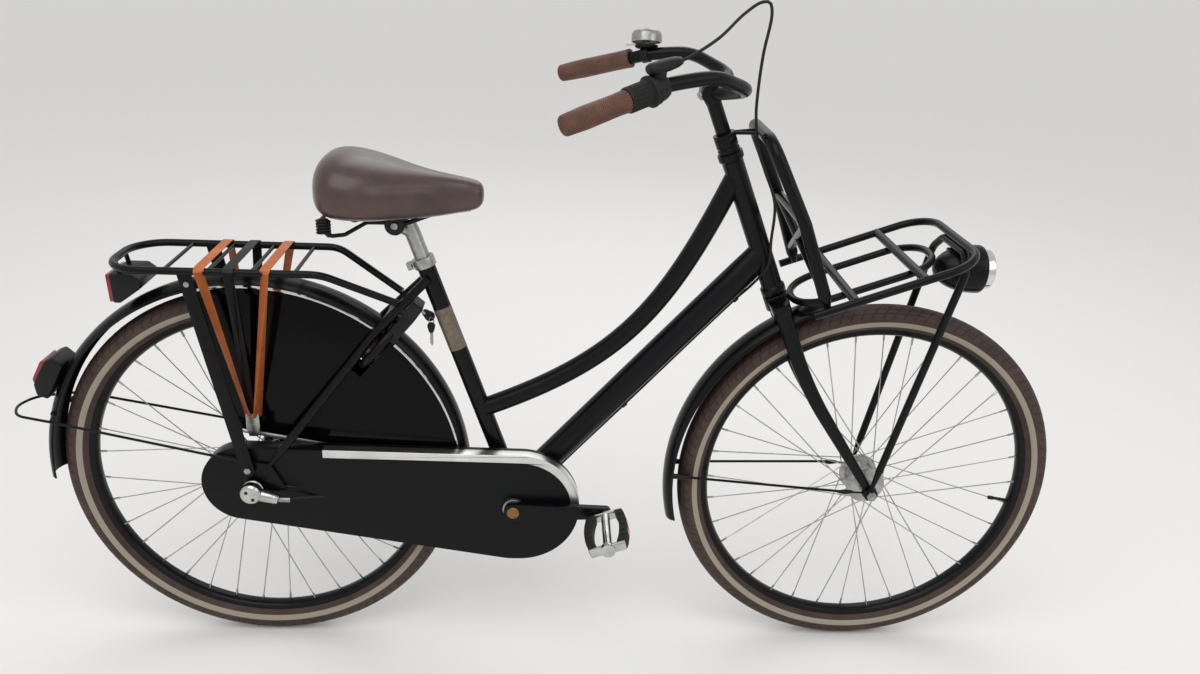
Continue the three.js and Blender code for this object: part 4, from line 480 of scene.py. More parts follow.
def addRibs(look, pitch, depth):  # upright ribs, pitch and depth in mm
    waves = addNode(look["tree"], "ShaderNodeTexWave",
                    {"wave_type": "BANDS", "bands_direction": "Y", "Scale": 2 * pi / 20 / (pitch * mm)},
                    {"Vector": look["place"]})
    addRelief(look, waves.outputs["Fac"], depth)


# Satin powder coat over steel tube: dull black that spreads the light, with a fine orange-peel skin.
satin = finish("satin_powder_coat", "08090b", "0c0d10", (0.2, 0.3), patch=120, grain=1.6, bump=0.012,
               ior=1.27)
# Enamel on the chain case's sheet: near black, a little duller than a gloss.
enamel = finish("satin_enamel_sheet", "090a0c", "0d0e11", (0.3, 0.38), patch=150, grain=2.5, bump=0.008,
                ior=1.26)
# Gloss moulded sheet of the coat guards: a hard shine with slow waves.
gloss = finish("gloss_moulded_sheet", "030304", "050506", (0.08, 0.14), patch=60, grain=14, bump=0.05,
               ior=1.22)
# Moulded ABS of small housings: mid rough with a fine spark-eroded grain.
moulded = finish("moulded_abs", "0d0d0f", "121215", (0.36, 0.5), patch=40, grain=0.7, bump=0.03, ior=1.34)
# Zinc-plated steel: grey metal with cloudy patches.
zinc = finish("zinc_plated_steel", "a9abab", "8f9192", (0.28, 0.42), metallic=1.0, patch=14, grain=0.6,
              bump=0.01)
# Stainless spoke wire: drawn and bright.
wire = finish("drawn_spoke_wire", "b9bab9", "9d9e9d", (0.24, 0.34), metallic=1.0, patch=30, grain=0.5,
              bump=0.006)
# Chrome plate: bright and even.
chrome = finish("chrome_plate", "dcdddb", "cfd0ce", (0.06, 0.12), metallic=1.0, patch=50, grain=3, bump=0.004)
# Cast and machined aluminium: soft silver with a fine grain.
alloy = finish("cast_aluminium", "b4b4b1", "9c9c99", (0.3, 0.42), metallic=1.0, patch=16, grain=0.9,
               bump=0.025)
# Polished aluminium of the gear unit and the pedals: brighter than a casting, with soft reflections.
polished = finish("polished_aluminium_shell", "cbcbc8", "b6b6b3", (0.14, 0.24), metallic=1.0, patch=22,
                  grain=2, bump=0.01)
# Brushed nickel of the bell: grey, with reflections drawn soft.
nickel = finish("brushed_nickel_plate", "b2b1ad", "8c8b88", (0.24, 0.38), metallic=1.0, patch=16, grain=0.7,
                bump=0.012)
# Bright anodised strip on the chain case and the coat guards: its brushing blurs what it mirrors.
brightStrip = finish("bright_anodised_strip", "e2e2df", "d2d2cf", (0.26, 0.36), metallic=1.0, patch=60,
                     grain=0.8, bump=0.008)
# Bronze-coloured dust cap.
bronze = finish("bronze_anodised_cap", "9a7748", "7f6038", (0.3, 0.4), metallic=1.0, patch=8, grain=0.6,
                bump=0.01)
# Moulded black rubber: dull, slightly dusty.
rubber = finish("moulded_black_rubber", "111111", "1a1918", (0.6, 0.75), patch=18, grain=0.5, bump=0.04,
                ior=1.42)
# Flat rubber bands, one orange and one black.
orangeBand = finish("orange_rubber_band", "c26a31", "ae5b27", (0.5, 0.62), patch=40, grain=0.8, bump=0.03)
blackBand = finish("black_rubber_band", "111111", "191818", (0.5, 0.62), patch=40, grain=0.8, bump=0.03,
                   ior=1.42)
# Plain film of the band on the seat tube: warm grey, faintly metallic.
bandFilm = finish("warm_grey_film", "7b6e5e", "655a4d", (0.3, 0.42), metallic=0.4, patch=12, grain=0.8,
                  bump=0.01)
# Red moulded lens with upright ribs, 2 mm apart.
redLens = finish("red_ribbed_lens", "8e1418", "6e0e12", (0.08, 0.14), patch=30, grain=6, bump=0.01, coat=0.5,
                 coatRough=0.04)
addRibs(redLens, 2, 0.3)
# Amber moulded reflector of the pedals.
amberLens = finish("amber_pedal_reflector", "c25a12", "a84c0e", (0.1, 0.18), patch=10, grain=3, bump=0.05,
                   coat=0.4, coatRough=0.05)
# Clear lamp lens, slightly frosted by its ribs, 3 mm apart.
lampLens = finish("clear_ribbed_lens", "d9dcdd", "cfd2d3", (0.05, 0.1), patch=20, grain=4, bump=0.05)
lampLens["shader"].inputs["Transmission Weight"].default_value = 0.55
addRibs(lampLens, 3, 0.4)
# Saddle cover: brown vinyl with a leather grain of about 1.5 mm, worn a little lighter in patches.
vinyl = finish("saddle_vinyl_cover", "4a3430", "3c2925", (0.26, 0.36), patch=70, grain=0.8, bump=0.03,
               coat=0.25, coatRough=0.2)
grainCells = addNode(vinyl["tree"], "ShaderNodeTexVoronoi", {"feature": "F1", "Scale": 1 / (1.6 * mm)},
                     {"Vector": vinyl["place"]})
addRelief(vinyl, grainCells.outputs["Distance"], 0.12)


# Brown rubber: block tread on the crown, with painted shade darkening its grooves, and a pale reflecting band
# low on the side wall. Sizes in metres.
tread = {"band": (0.3222, 0.3322), "crown": 0.3385, "blocks": 110, "slant": 60.0, "sipe": 0.22,
         "ring": 0.0062,
         "ringShare": 0.2, "depth": 1.4}


def tyreLook(name, centre):
    look = finish(name, "432c24", "34221c", (0.55, 0.72), patch=45, grain=0.9, bump=0.06)
    tree = look["tree"]
    angle, across, distance = roundCoords(tree, look["place"], centre, unitY)
    fromLow = maths(tree, "GREATER_THAN", distance, tread["band"][0])
    tint(look, maths(tree, "MULTIPLY", fromLow, maths(tree, "LESS_THAN", distance, tread["band"][1])),
         "938b7c")
    away = maths(tree, "ABSOLUTE", across)
    turns = maths(tree, "MULTIPLY", angle, tread["blocks"] / (2 * pi))
    turns = maths(tree, "ADD", turns, maths(tree, "MULTIPLY", away, tread["slant"]))
    sipe = maths(tree, "LESS_THAN", maths(tree, "FRACT", turns), tread["sipe"])
    rings = maths(tree, "FRACT", maths(tree, "MULTIPLY", away, 1 / tread["ring"]))
    grooves = maths(tree, "MAXIMUM", sipe, maths(tree, "LESS_THAN", rings, tread["ringShare"]))
    carved = maths(tree, "MULTIPLY", grooves, maths(tree, "GREATER_THAN", distance, tread["crown"]))
    addRelief(look, maths(tree, "SUBTRACT", 1.0, carved), tread["depth"])
    # painted shade: the carved grooves are tinted near black, as if shade fell in them
    tint(look, maths(tree, "MULTIPLY", carved, 0.8), "1c110d")
    return look


# Brown moulded grip: crossed spiral grooves leave small diamonds, starts of them round the grip; the grooves
# carry painted shade.
spiral = {"starts": 22, "step": 4.2, "depth": 2.2, "groove": 0.12}


def gripLook(name, tip, along):
    look = finish(name, "744a33", "603b28", (0.42, 0.58), patch=22, grain=0.8, bump=0.03)
    tree = look["tree"]
    angle, height, distance = roundCoords(tree, look["place"], tip, along)
    turns = maths(tree, "MULTIPLY", angle, spiral["starts"] / (2 * pi))
    run = maths(tree, "MULTIPLY", height, 1 / (spiral["step"] * mm))
    one = maths(tree, "PINGPONG", maths(tree, "ADD", turns, run), 0.5)
    two = maths(tree, "PINGPONG", maths(tree, "SUBTRACT", turns, run), 0.5)
    diamond = maths(tree, "MINIMUM", one, two)
    addRelief(look, diamond, spiral["depth"])
    # painted shade: the grooves between the diamonds are tinted dark brown, as if shade fell in them
    tint(look, maths(tree, "MULTIPLY", maths(tree, "LESS_THAN", diamond, spiral["groove"]), 0.8), "3c2218")
    return look


print("materials made")

# Frame tubes
headTube = {
    "profile": [(13.4, -127), (22, -127), (22, -115), (19.5, -113), (18.5, -110), (18.5, 123), (19.5, 126),
                (22, 128), (22, 140), (13.4, 140)],
}
headForm = turned("head_tube_form", headTube["profile"], headPoint, headDir, satin, 40, 0.8)
dress("head_tube", [headForm], "frame")

seatTube = {"radius": 16, "length": 480, "shellRadius": 21, "shellHalf": 36}
# A plain warm grey band where the real tube has a label.
badge = {"from": 311, "to": 393, "radius": 16.25, "angle": radians(150), "steps": 12, "thickness": 0.25}
seatParts = [
    tubed("seat_tube_form", [onSeat(0), onSeat(seatTube["length"])], seatTube["radius"], satin, sides=10),
    crossRod("bracket_shell", bracket.x, bracket.z, -seatTube["shellHalf"], seatTube["shellHalf"],
             seatTube["shellRadius"], satin, 10, 1.2),
]
bandArc = []
for k in range(badge["steps"] + 1):
    turn = badge["angle"] * (k / badge["steps"] - 0.5) - pi / 2
    bandArc.append(at(badge["radius"] * cos(turn), badge["radius"] * sin(turn), badge["from"]) * mm)
bandHeight = (badge["to"] - badge["from"]) * mm
band = edited(asMesh(newCurve("seat_tube_band", [bandArc])),
              (bpy.ops.mesh.extrude_region_move, {"TRANSFORM_OT_translate": {"value": (0, 0, bandHeight)}}))
settled(band, Matrix.Translation(inFrame(bracket)) @ Matrix.Rotation(layout["seatAngle"] - pi / 2, 4, "Y"))
modified(band, "SOLIDIFY", thickness=badge["thickness"] * mm, offset=0)
dress("seat_tube", [*seatParts, painted(band, bandFilm)], "frame")

downTube = {"radius": 25, "meet": 51, "neck": 70, "neckWidth": 17.5, "steps": 24}
cable = {"radius": 2.5, "clipShares": (0.42, 0.86)}
downEnd = onHead(-downTube["meet"])
downDir = (downEnd - bracket).normalized()
downUnder = at(downDir.z, 0, -downDir.x)
downPath = [bracket.lerp(downEnd, k / downTube["steps"]) for k in range(downTube["steps"] + 1)]
downForm = tubed("down_tube_form", downPath, downTube["radius"], satin, sides=12)
for vertex in downForm.data.vertices:  # the sides draw in near the head tube
    left = (inFrame(downEnd) - vertex.co).dot(downDir)
    share = min(max(1 - left / (downTube["neck"] * mm), 0), 1)
    vertex.co.y *= 1 + (downTube["neckWidth"] / downTube["radius"] - 1) * share * share * (3 - 2 * share)


def cableUnder(share):  # the cable's middle under the down tube
    return bracket.lerp(downEnd, share) + downUnder * (downTube["radius"] + layout["clear"] + cable["radius"])


clips = []
for share in cable["clipShares"]:
    spot = cableUnder(share)
    clips.append(rod("cable_clip", spot - downDir * 5, spot + downDir * 5, 4.6, moulded, 4, 1))
    clips.append(rod("cable_clip_foot", spot - downUnder * 1.5, spot - downUnder * 5, 3.6, moulded, 4, 0.6))
dress("down_tube", [downForm, *clips], "frame")

topTube = {"radius": 17.5, "up": 183, "meet": 100, "start": radians(22), "handle": 270, "pinch": 0.14,
           "pinchRun": 45}
topStart, topEnd = onSeat(topTube["up"]), onHead(topTube["meet"])
topLine = [topStart, polar(topStart, topTube["handle"], topTube["start"]),
           polar(topEnd, -topTube["handle"], layout["headAngle"]), topEnd]
topForm = tubed("top_tube_form", bezier(topLine, 36), topTube["radius"], satin, sides=10)
for vertex in topForm.data.vertices:  # squeezed a little where it meets the seat tube
    away = (vertex.co - inFrame(topStart)).length / (topTube["pinchRun"] * mm)
    vertex.co.y *= 1 - topTube["pinch"] * max(1 - away, 0)
dress("top_tube", [topForm], "frame")

# Stays and side stand
stays = {
    "radius": 8, "topWidth": 18, "topDrop": 26, "midWidth": 40, "midX": 225, "midZ": 655, "tipX": 24,
    "tipZ": 394,
    "dropoutY": 65, "dropout": 5, "bend": 120, "bridge": 6, "bridgeHalf": 34.7, "bridgeShare": 0.76,
    "chain": [(464, 20, 321), (400, 28.5, 329), (334, 35.5, 335), (150, 50, 346), (46, 63, 355)],
    "chainRadii": (10, 5.5), "taper": 1.1, "steps": 24, "hole": 5.4,
}
stayTop = onSeat(seatTube["length"] - stays["topDrop"])


def stayPath(s):
    return [sided(s, stayTop.x, stays["topWidth"], stayTop.z),
            sided(s, stays["midX"], stays["midWidth"], stays["midZ"]),
            sided(s, stays["tipX"], stays["dropoutY"] + stays["dropout"] / 2, stays["tipZ"])]


seatStays = []
for s in bothSides:
    line = stayPath(s)
    path = [*bent(line, stays["bend"])[:-1], line[1].lerp(line[2], 0.85), line[2]]
    radii = [stays["radius"]] * (len(path) - 1) + [stays["dropout"] / 2 + 1]
    seatStays.append(tubed("seat_stay", path, stays["radius"], satin, radii))
bridgeAt = stayTop.lerp(at(stays["midX"], 0, stays["midZ"]), stays["bridgeShare"])
seatStays.append(crossRod("stay_bridge", bridgeAt.x, bridgeAt.z, -stays["bridgeHalf"], stays["bridgeHalf"],
                          stays["bridge"], satin))
dress("seat_stays", seatStays, "frame")


def chainStay(s):
    smooth = flowing([sided(s, *spot) for spot in stays["chain"]], stays["steps"])
    first, last = stays["chainRadii"]
    radii = [first + (last - first) * (k / stays["steps"]) ** stays["taper"] for k in range(len(smooth))]
    outline = belt([(0, 358, 15), (46, 355, 10.5), (stays["tipX"], stays["tipZ"], 12), (-6, 397, 12)])
    hole = [(stays["hole"] * cos(k * pi / 8), rearAxle.z + stays["hole"] * sin(k * pi / 8))
            for k in range(16)]
    return [tubed("chain_stay", smooth, first, satin, radii),
            sideFlat("dropout", [outline, hole], s * stays["dropoutY"],
                     s * (stays["dropoutY"] + stays["dropout"]), satin, 0.8)]


dress("right_chain_stay", chainStay(rightSide), "frame")
stand = {
    "pivot": at(190, 62, 315), "boss": 10, "bossHalf": 7, "leg": 7, "length": 318, "foot": 9,
    "footLength": 27,
    "folded": at(-336, 4, -15).normalized(), "out": at(40, 98, -315).normalized(),
    "arm": at(190, 49.4, 344.8),
    "bolt": 6, "boltHeight": 3,
}
standAxis = -stand["folded"].cross(stand["out"]).normalized()
bossFrom, bossTo = (stand["pivot"] + standAxis * stand["bossHalf"] * s for s in bothSides)
leftStay = chainStay(leftSide)
leftStay.append(rod("stand_boss", bossFrom, bossTo, stand["boss"], satin, 8, 1))
leftStay.append(rod("stand_arm", stand["arm"], bossFrom.lerp(bossTo, 0.3), stand["leg"], satin, 6, 0.8))
dress("left_chain_stay", leftStay, "frame")
eyeHalf = stand["leg"] + layout["clear"]
eyeFrom = bossTo + standAxis * layout["clear"]
eyeTo = eyeFrom + standAxis * 2 * eyeHalf
legStart = eyeFrom + standAxis * eyeHalf
legEnd = legStart + stand["folded"] * stand["length"]
dress("kickstand", [
    rod("stand_eye", eyeFrom, eyeTo, stand["boss"], satin, 8, 1),
    tubed("stand_leg", [legStart, legEnd], stand["leg"], satin),
    rod("stand_foot", legEnd - stand["folded"] * stand["footLength"], legEnd, stand["foot"], rubber, 6, 2),
    rod("stand_bolt", eyeTo, eyeTo + standAxis * stand["boltHeight"], stand["bolt"], zinc, 2, 0.6),
], "side_stand")
print("frame tubes made")

# Seat clamp, post and saddle
clamp = {
    "ring": [(16.4, 472), (19.5, 472), (19.5, 490), (14, 490), (14, 480.4), (16.4, 480.4)],
    "ear": [(-8, -7), (8, -7), (8, 7), (-8, 7)], "middle": 481, "earOut": 23, "earWidth": 11, "boltOut": 24,
    "boltHalf": 14, "bolt": 4,
}
clampBack = at(-seatDir.z, 0, seatDir.x)
clampMiddle = onSeat(clamp["middle"])
earAt = clampMiddle + clampBack * clamp["earOut"] - unitY * clamp["earWidth"] / 2
boltEnds = [clampMiddle + clampBack * clamp["boltOut"] + unitY * s * clamp["boltHalf"] for s in bothSides]
dress("seat_clamp", [
    turned("clamp_ring", clamp["ring"], bracket, seatDir, alloy, 40, 0.8),
    flat("clamp_ear", [clamp["ear"]], clamp["earWidth"], earAt, clampBack, seatDir, alloy, 1.5),
    rod("clamp_bolt", *boltEnds, clamp["bolt"], zinc, 4, 0.8),
], "frame")

post = {"insert": 242, "top": 556, "taper": 16, "radii": [13.6, 13.6, 11.5], "clampX": 262, "clampZ": 843}
dress("seatpost", [
    tubed("post_column", [onSeat(post["insert"]), onSeat(post["top"] - post["taper"]), onSeat(post["top"])],
          post["radii"][0], alloy, post["radii"], sides=8),
    rod("post_neck", onSeat(post["top"] - 20), at(post["clampX"], 0, post["clampZ"] - 4), 11.5, alloy),
    crossRod("post_head", post["clampX"], post["clampZ"] - 1.5, -17, 17, 16, moulded, 10, 2),
    *crossRods(post["clampX"], post["clampZ"], [("post_cheek_right", -27, -17.6, 17, moulded, 10, 2),
                                                ("post_cheek_left", 17.6, 27, 17, moulded, 10, 2),
                                                ("post_bolt", -31, 31, 6.5, zinc, 2, 1)]),
], "saddle")

springs = {
    "rail": [(388, 8, 871), (322, 21, 862), (284, 21, 847), (215, 21, 846), (182, 43, 830), (158, 62, 832),
             (152, 62, 862)],
    "loop": [(160, 62, 833), (136, 37, 844)],
    "railBend": 12, "loopBend": 18, "radius": 3.5, "pin": (386, 8, 871), "pinRadius": 4,
    "bufferX": 152, "bufferY": 62, "buffer": (838, 861), "bufferRadius": 9,
    "coil": 11, "coilLow": 836, "coilRise": 24, "coilWire": 1.6, "coilSteps": 60, "coilTurn": 0.5,
}


def railPath(s):
    return bent([sided(s, *spot) for spot in springs["rail"]], springs["railBend"])


springParts = [tubed("saddle_rail", railPath(s), springs["radius"], moulded, sides=4) for s in bothSides]
loopPath = bent(mirrored(springs["loop"]), springs["loopBend"])
springParts.append(tubed("rear_loop", loopPath, springs["radius"], moulded, sides=4))
pinEnds = [sided(s, *springs["pin"]) for s in bothSides]
springParts.append(rod("nose_pin", *pinEnds, springs["pinRadius"], moulded, 4, 0.8))
for s in bothSides:  # rubber buffers between the loop and the shell
    ends = [sided(s, springs["bufferX"], springs["bufferY"], z) for z in springs["buffer"]]
    springParts.append(rod("buffer", *ends, springs["bufferRadius"], rubber, 6, 2.5))
    coil = []
    for k in range(springs["coilSteps"] + 1):
        turn = k * springs["coilTurn"]
        height = springs["coilLow"] + springs["coilRise"] * k / springs["coilSteps"]
        coil.append(sided(s, springs["bufferX"], springs["bufferY"], height)
                    + at(cos(turn), sin(turn), 0) * springs["coil"])
    springParts.append(tubed("coil", coil, springs["coilWire"], moulded, sides=2))
dress("saddle_springs", springParts, "saddle")

# Cross sections along the saddle: share of the length, of the half width, of the height, and the lower edge.
saddle = {
    "rear": 132, "nose": 411, "halfWidth": 105, "top": 964, "bottom": 855, "sides": 28, "levels": 2,
    "widthScale": 1.02, "heightScale": 1.01, "waistShare": 0.42, "tuckShare": 0.16,
    "shares": [(0, 0.3, 0.6, 0.42), (0.02, 0.62, 0.78, 0.2), (0.06, 0.86, 0.93, 0.08), (0.14, 1, 1, 0.02),
               (0.26, 1, 0.97, 0), (0.38, 0.9, 0.9, 0), (0.5, 0.7, 0.82, 0), (0.62, 0.48, 0.74, 0),
               (0.74, 0.33, 0.68, 0.03), (0.86, 0.26, 0.63, 0.09), (0.94, 0.23, 0.59, 0.13),
               (0.98, 0.18, 0.55, 0.18), (1, 0.09, 0.46, 0.28)],
}
points, faces = [], []
saddleHeight = saddle["top"] - saddle["bottom"]
for share, wide, high, low in saddle["shares"]:
    x = saddle["rear"] + (saddle["nose"] - saddle["rear"]) * share
    halfWidth = saddle["halfWidth"] * wide * saddle["widthScale"]
    upper = saddle["bottom"] + saddleHeight * high * saddle["heightScale"]
    lower = saddle["bottom"] + saddleHeight * low
    waist = lower + (upper - lower) * saddle["waistShare"]
    for k in range(saddle["sides"]):
        turn = (k + 0.5) / saddle["sides"] * 2 * pi
        across, rise = cos(turn), sin(turn)
        tuck = 1 if rise > 0 else 1 - saddle["tuckShare"] * abs(rise)
        y = halfWidth * (1 if across > 0 else -1) * abs(across) ** 0.7 * tuck
        z = waist + (upper - waist) * rise ** 0.9 if rise > 0 else waist - (waist - lower) * abs(rise) ** 0.45
        points.append(inFrame((x, y, z)))
rows, sides = len(saddle["shares"]), saddle["sides"]
for i in range(rows - 1):
    for k in range(sides):
        a, b = i * sides + k, i * sides + (k + 1) % sides
        faces.append((a, b, b + sides, a + sides))
faces.append(tuple(reversed(range(sides))))
faces.append(tuple(range((rows - 1) * sides, rows * sides)))
mesh = bpy.data.meshes.new("saddle_cover")
mesh.from_pydata(points, [], faces)
cushion = bpy.data.objects.new("saddle_cover", mesh)
bpy.context.scene.collection.objects.link(cushion)
modified(welded(cushion), "SUBSURF", levels=saddle["levels"], render_levels=saddle["levels"])
cushion = placed("saddle_cover", [painted(cushion, vinyl)], "saddle", ["saddle_cushion"], 60)
print("saddle made")

# Wheels: the profiles are (radius, y), turned about the axle.
wheelLook = {
    "section": 23.5, "bead": [(309, 8.6), (314, 12.6)], "steps": 16, "sweep": radians(126), "segments": 120,
    "rim": [(300, 0), (300.4, 5), (302, 9), (305, 12.5), (316.2, 12.5), (317, 11.8), (316.2, 10.6),
            (307.5, 10.4), (306.6, 5), (306.5, 0)],
    "valveAt": -0.15, "valve": (304, 268), "cap": (272, 262), "spokes": 36, "spokeRadius": 1.1, "crosses": 3,
    "lace": 1.7, "nipple": 2.1, "nippleLength": 13, "spokeEnd": 300.6, "spokeSpread": 2.5,
}
rearHub = {
    "flanges": {rightSide: -27, leftSide: 30}, "pitch": 33,
    "profile": [(5.8, -40), (18, -40), (23, -31), (23.2, -29.2), (37, -29.2), (37.4, -27), (37, -24.8),
                (29, -23.8), (28.4, 0), (29, 26.8), (37, 27.8), (37.4, 30), (37, 32.2), (33, 33.2), (31, 50),
                (29.7, 57.8), (5.8, 57.8)],
}
frontHub = {
    "flanges": {rightSide: -26, leftSide: 26}, "pitch": 32,
    "profile": [(5.8, -44), (9, -44), (12, -34), (13, -28.6), (36, -28.2), (36.4, -26), (36, -23.8),
                (27, -22), (24, -12), (23.6, 0), (24, 12), (27, 22), (36, 23.8), (36.4, 26), (36, 28.2),
                (13, 28.6), (11.7, 43.8), (5.8, 43.8)],
}


def wheel(name, hub, centre, phase):
    tyre = tyreLook("brown_tyre_" + name, centre)
    body = name + "_wheel"
    sectionCentre = layout["wheelRadius"] - wheelLook["section"]
    profile = list(wheelLook["bead"])
    for k in range(wheelLook["steps"] + 1):
        turn = wheelLook["sweep"] * (1 - k / wheelLook["steps"])
        profile.append((sectionCentre + wheelLook["section"] * cos(turn), wheelLook["section"] * sin(turn)))
    profile += [(r, -y) for r, y in reversed(profile[:-1])]
    dress(name + "_tyre", [turned("tyre", profile, centre, unitY, tyre, wheelLook["segments"])], body)
    rimProfile = [*wheelLook["rim"], *((r, -y) for r, y in reversed(wheelLook["rim"][1:-1]))]
    valveEnds = [polar(centre, r, wheelLook["valveAt"]) for r in wheelLook["valve"]]
    capEnds = [polar(centre, r, wheelLook["valveAt"]) for r in wheelLook["cap"]]
    dress(name + "_rim", [
        turned("rim", rimProfile, centre, unitY, satin, wheelLook["segments"]),
        rod("valve", *valveEnds, 3, rubber, 4, 1),
        rod("valve_cap", *capEnds, 3.8, rubber, 4, 1),
    ], body)
    parts = [turned("hub", hub["profile"], centre, unitY, alloy, 40, 0.6)]
    # A spoke one metre long, to be stretched, and a nipple, both from the origin upwards.
    spoke = atOrigin(rod("spoke", at(0, 0, 0), at(0, 0, 1000), wheelLook["spokeRadius"], wire, 1))
    nipple = atOrigin(rod("nipple", at(0, 0, 0), at(0, 0, wheelLook["nippleLength"]), wheelLook["nipple"],
                          wire, 1))
    count = wheelLook["spokes"]
    for i in range(count):
        s = leftSide if i % 2 else rightSide
        turn = phase + i / count * 2 * pi
        lead = 1 if (i // 2) % 2 else -1
        hole = turn + lead * wheelLook["crosses"] * 2 * pi / (count // 2)
        a = inFrame(polar(centre, hub["pitch"], hole, hub["flanges"][s] + lead * wheelLook["lace"]))
        b = inFrame(polar(centre, wheelLook["spokeEnd"], turn,
                          s * wheelLook["spokeSpread"] + lead * wheelLook["lace"]))
        stretch = Matrix.Diagonal((1, 1, (b - a).length, 1))
        parts.append(copyPlaced(spoke, Matrix.Translation(a) @ turnTo((b - a).normalized()) @ stretch))
        parts.append(copyPlaced(nipple, Matrix.Translation(b) @ turnTo((a - b).normalized())))
    for piece in (spoke, nipple):
        bpy.data.objects.remove(piece, do_unlink=True)
    placed(name + "_hub_skin", parts, body, [name + "_spoked_hub"])


lockAngle = radians(49.6)  # the lock's bar passes between two spokes
wheel("rear", rearHub, rearAxle, lockAngle - radians(5))
wheel("front", frontHub, frontAxle, 0.0)
print("wheels made")

# Mudguards
guard = {"outer": 386, "halfWidth": 29, "wall": 2, "depth": 15, "spread": radians(76), "edge": 1.7,
         "seam": 0.6,
         "hanger": (384, 402), "hangerRadius": 6}


def guardBlade(name, centre, start, end, steps):
    section = []
    for k in range(15):
        turn = guard["spread"] * (k / 7 - 1)
        y = guard["halfWidth"] * sin(turn) / sin(guard["spread"])
        drop = guard["depth"] * (1 - cos(turn)) / (1 - cos(guard["spread"]))
        section.append(at(guard["outer"] - drop, y, 0) * mm)
    made = spun(asMesh(newCurve(name, [section])), steps, end - start, (0, 1, 0))
    settled(made, Matrix.Translation(inFrame(centre)) @ Matrix.Rotation(-start, 4, "Y"))
    face = made.data.polygons[len(made.data.polygons) // 2]
    facing = (face.center - inFrame(centre)).dot(face.normal)
    modified(made, "SOLIDIFY", thickness=guard["wall"] * mm, offset=-1 if facing > 0 else 1)
    parts = [painted(made, satin)]
    radius = guard["outer"] - guard["depth"] + 0.4
    for s in bothSides:
        y = s * (guard["halfWidth"] - guard["seam"])
        path = [polar(centre, radius, start + (end - start) * k / steps, y) for k in range(steps + 1)]
        parts.append(tubed("rolled_edge", path, guard["edge"], satin, sides=2))
    return parts


def guardEdge(centre, angle, s):
    return polar(centre, guard["outer"] - guard["depth"] + guard["wall"], angle,
                 s * (guard["halfWidth"] - guard["wall"] / 2))


rearGuard = {
    "from": radians(-1), "to": radians(182), "steps": 84, "wire": 2.5, "bend": 40, "lug": radians(161.3),
    "loop": [(-6, 72.5, 409), (-345, 62, 478), (-415, 40, 478)], "loopEnd": (-432, 0, 478), "plate": (-1, 3),
    "plateRadius": 6,
}
guardParts = guardBlade("rear_guard", rearAxle, rearGuard["from"], rearGuard["to"], rearGuard["steps"])
loopPath = bent(mirrored(rearGuard["loop"], [at(*rearGuard["loopEnd"])]), rearGuard["bend"])
guardParts.append(tubed("guard_loop", loopPath, rearGuard["wire"], satin, sides=3))
for s in bothSides:
    edgeAt = guardEdge(rearAxle, rearGuard["lug"], s)
    plate = [edgeAt + unitY * s * y for y in rearGuard["plate"]]
    guardParts.append(rod("guard_lug", edgeAt, sided(s, *rearGuard["loop"][1]), rearGuard["wire"], satin, 3))
    guardParts.append(rod("guard_lug_plate", *plate, rearGuard["plateRadius"], satin, 4, 0.8))
bridgeAngle = atan2(bridgeAt.z - rearAxle.z, bridgeAt.x - rearAxle.x)
hangerEnds = [polar(rearAxle, r, bridgeAngle) for r in guard["hanger"]]
guardParts.append(rod("guard_hanger", *hangerEnds, guard["hangerRadius"], satin, 4, 0.8))
dress("rear_fender", guardParts, "frame")

frontGuard = {
    "from": radians(109), "to": radians(193.2), "steps": 44, "stayAt": radians(178), "eye": (55.3, 58.7),
    "eyeRadius": 9, "stayY": 57, "wireRadii": [2.5, 2.5, 1.6], "fitting": 5, "fittingShare": 0.09,
    "shoeRadii": [2.6, 5, 3], "shoeRuns": (-62, -48, -34), "crown": -156,
}
guardParts = guardBlade("front_guard", frontAxle, frontGuard["from"], frontGuard["to"], frontGuard["steps"])
for s in bothSides:
    stayEnd = frontAxle + unitY * s * frontGuard["stayY"]
    start = guardEdge(frontAxle, frontGuard["stayAt"], s)
    guardParts.append(crossRod("guard_eye", frontAxle.x, frontAxle.z, *(s * y for y in frontGuard["eye"]),
                               frontGuard["eyeRadius"], satin, 6, 0.6))
    wirePath = [start, stayEnd + at(-60, 0, 3), stayEnd + at(-6, 0, 0)]
    guardParts.append(tubed("guard_wire", wirePath, 2.5, satin, frontGuard["wireRadii"], sides=3))
    fittingEnd = start.lerp(stayEnd, frontGuard["fittingShare"])
    guardParts.append(rod("guard_fitting", start, fittingEnd, frontGuard["fitting"], moulded, 4, 1.2))
    shoe = [stayEnd + at(x, 0, 2) for x in frontGuard["shoeRuns"]]
    guardParts.append(tubed("guard_shoe", shoe, 4, moulded, frontGuard["shoeRadii"], sides=3))
crownFoot = onHead(frontGuard["crown"])
crownAngle = atan2(crownFoot.z - frontAxle.z, crownFoot.x - frontAxle.x)
hangerFoot = polar(frontAxle, guard["hanger"][0], crownAngle)
guardParts.append(rod("guard_hanger", hangerFoot, crownFoot.lerp(hangerFoot, 0.05), guard["hangerRadius"],
                      satin, 4))
dress("front_fender", guardParts, "steering")
print("mudguards made")

# Chain case
case = {
    "inner": 35.7, "outer": 64, "wall": 2, "panel": 1.8,
    "discs": [(-22, 360, 74), (466, 317, 110), (480, 317, 110)],
    "edge": 5, "lip": 0.3, "axleHole": 14, "crankHole": 22, "cutEnds": (-120, -30),
    "backHoles": [[(468, 320, 22), (469, 320, 22)], [(0, 358, 27), (1, 358, 27)]],
}


def caseOutline(grow):
    return belt([(x, z, r + grow) for x, z, r in case["discs"]], radians(4))


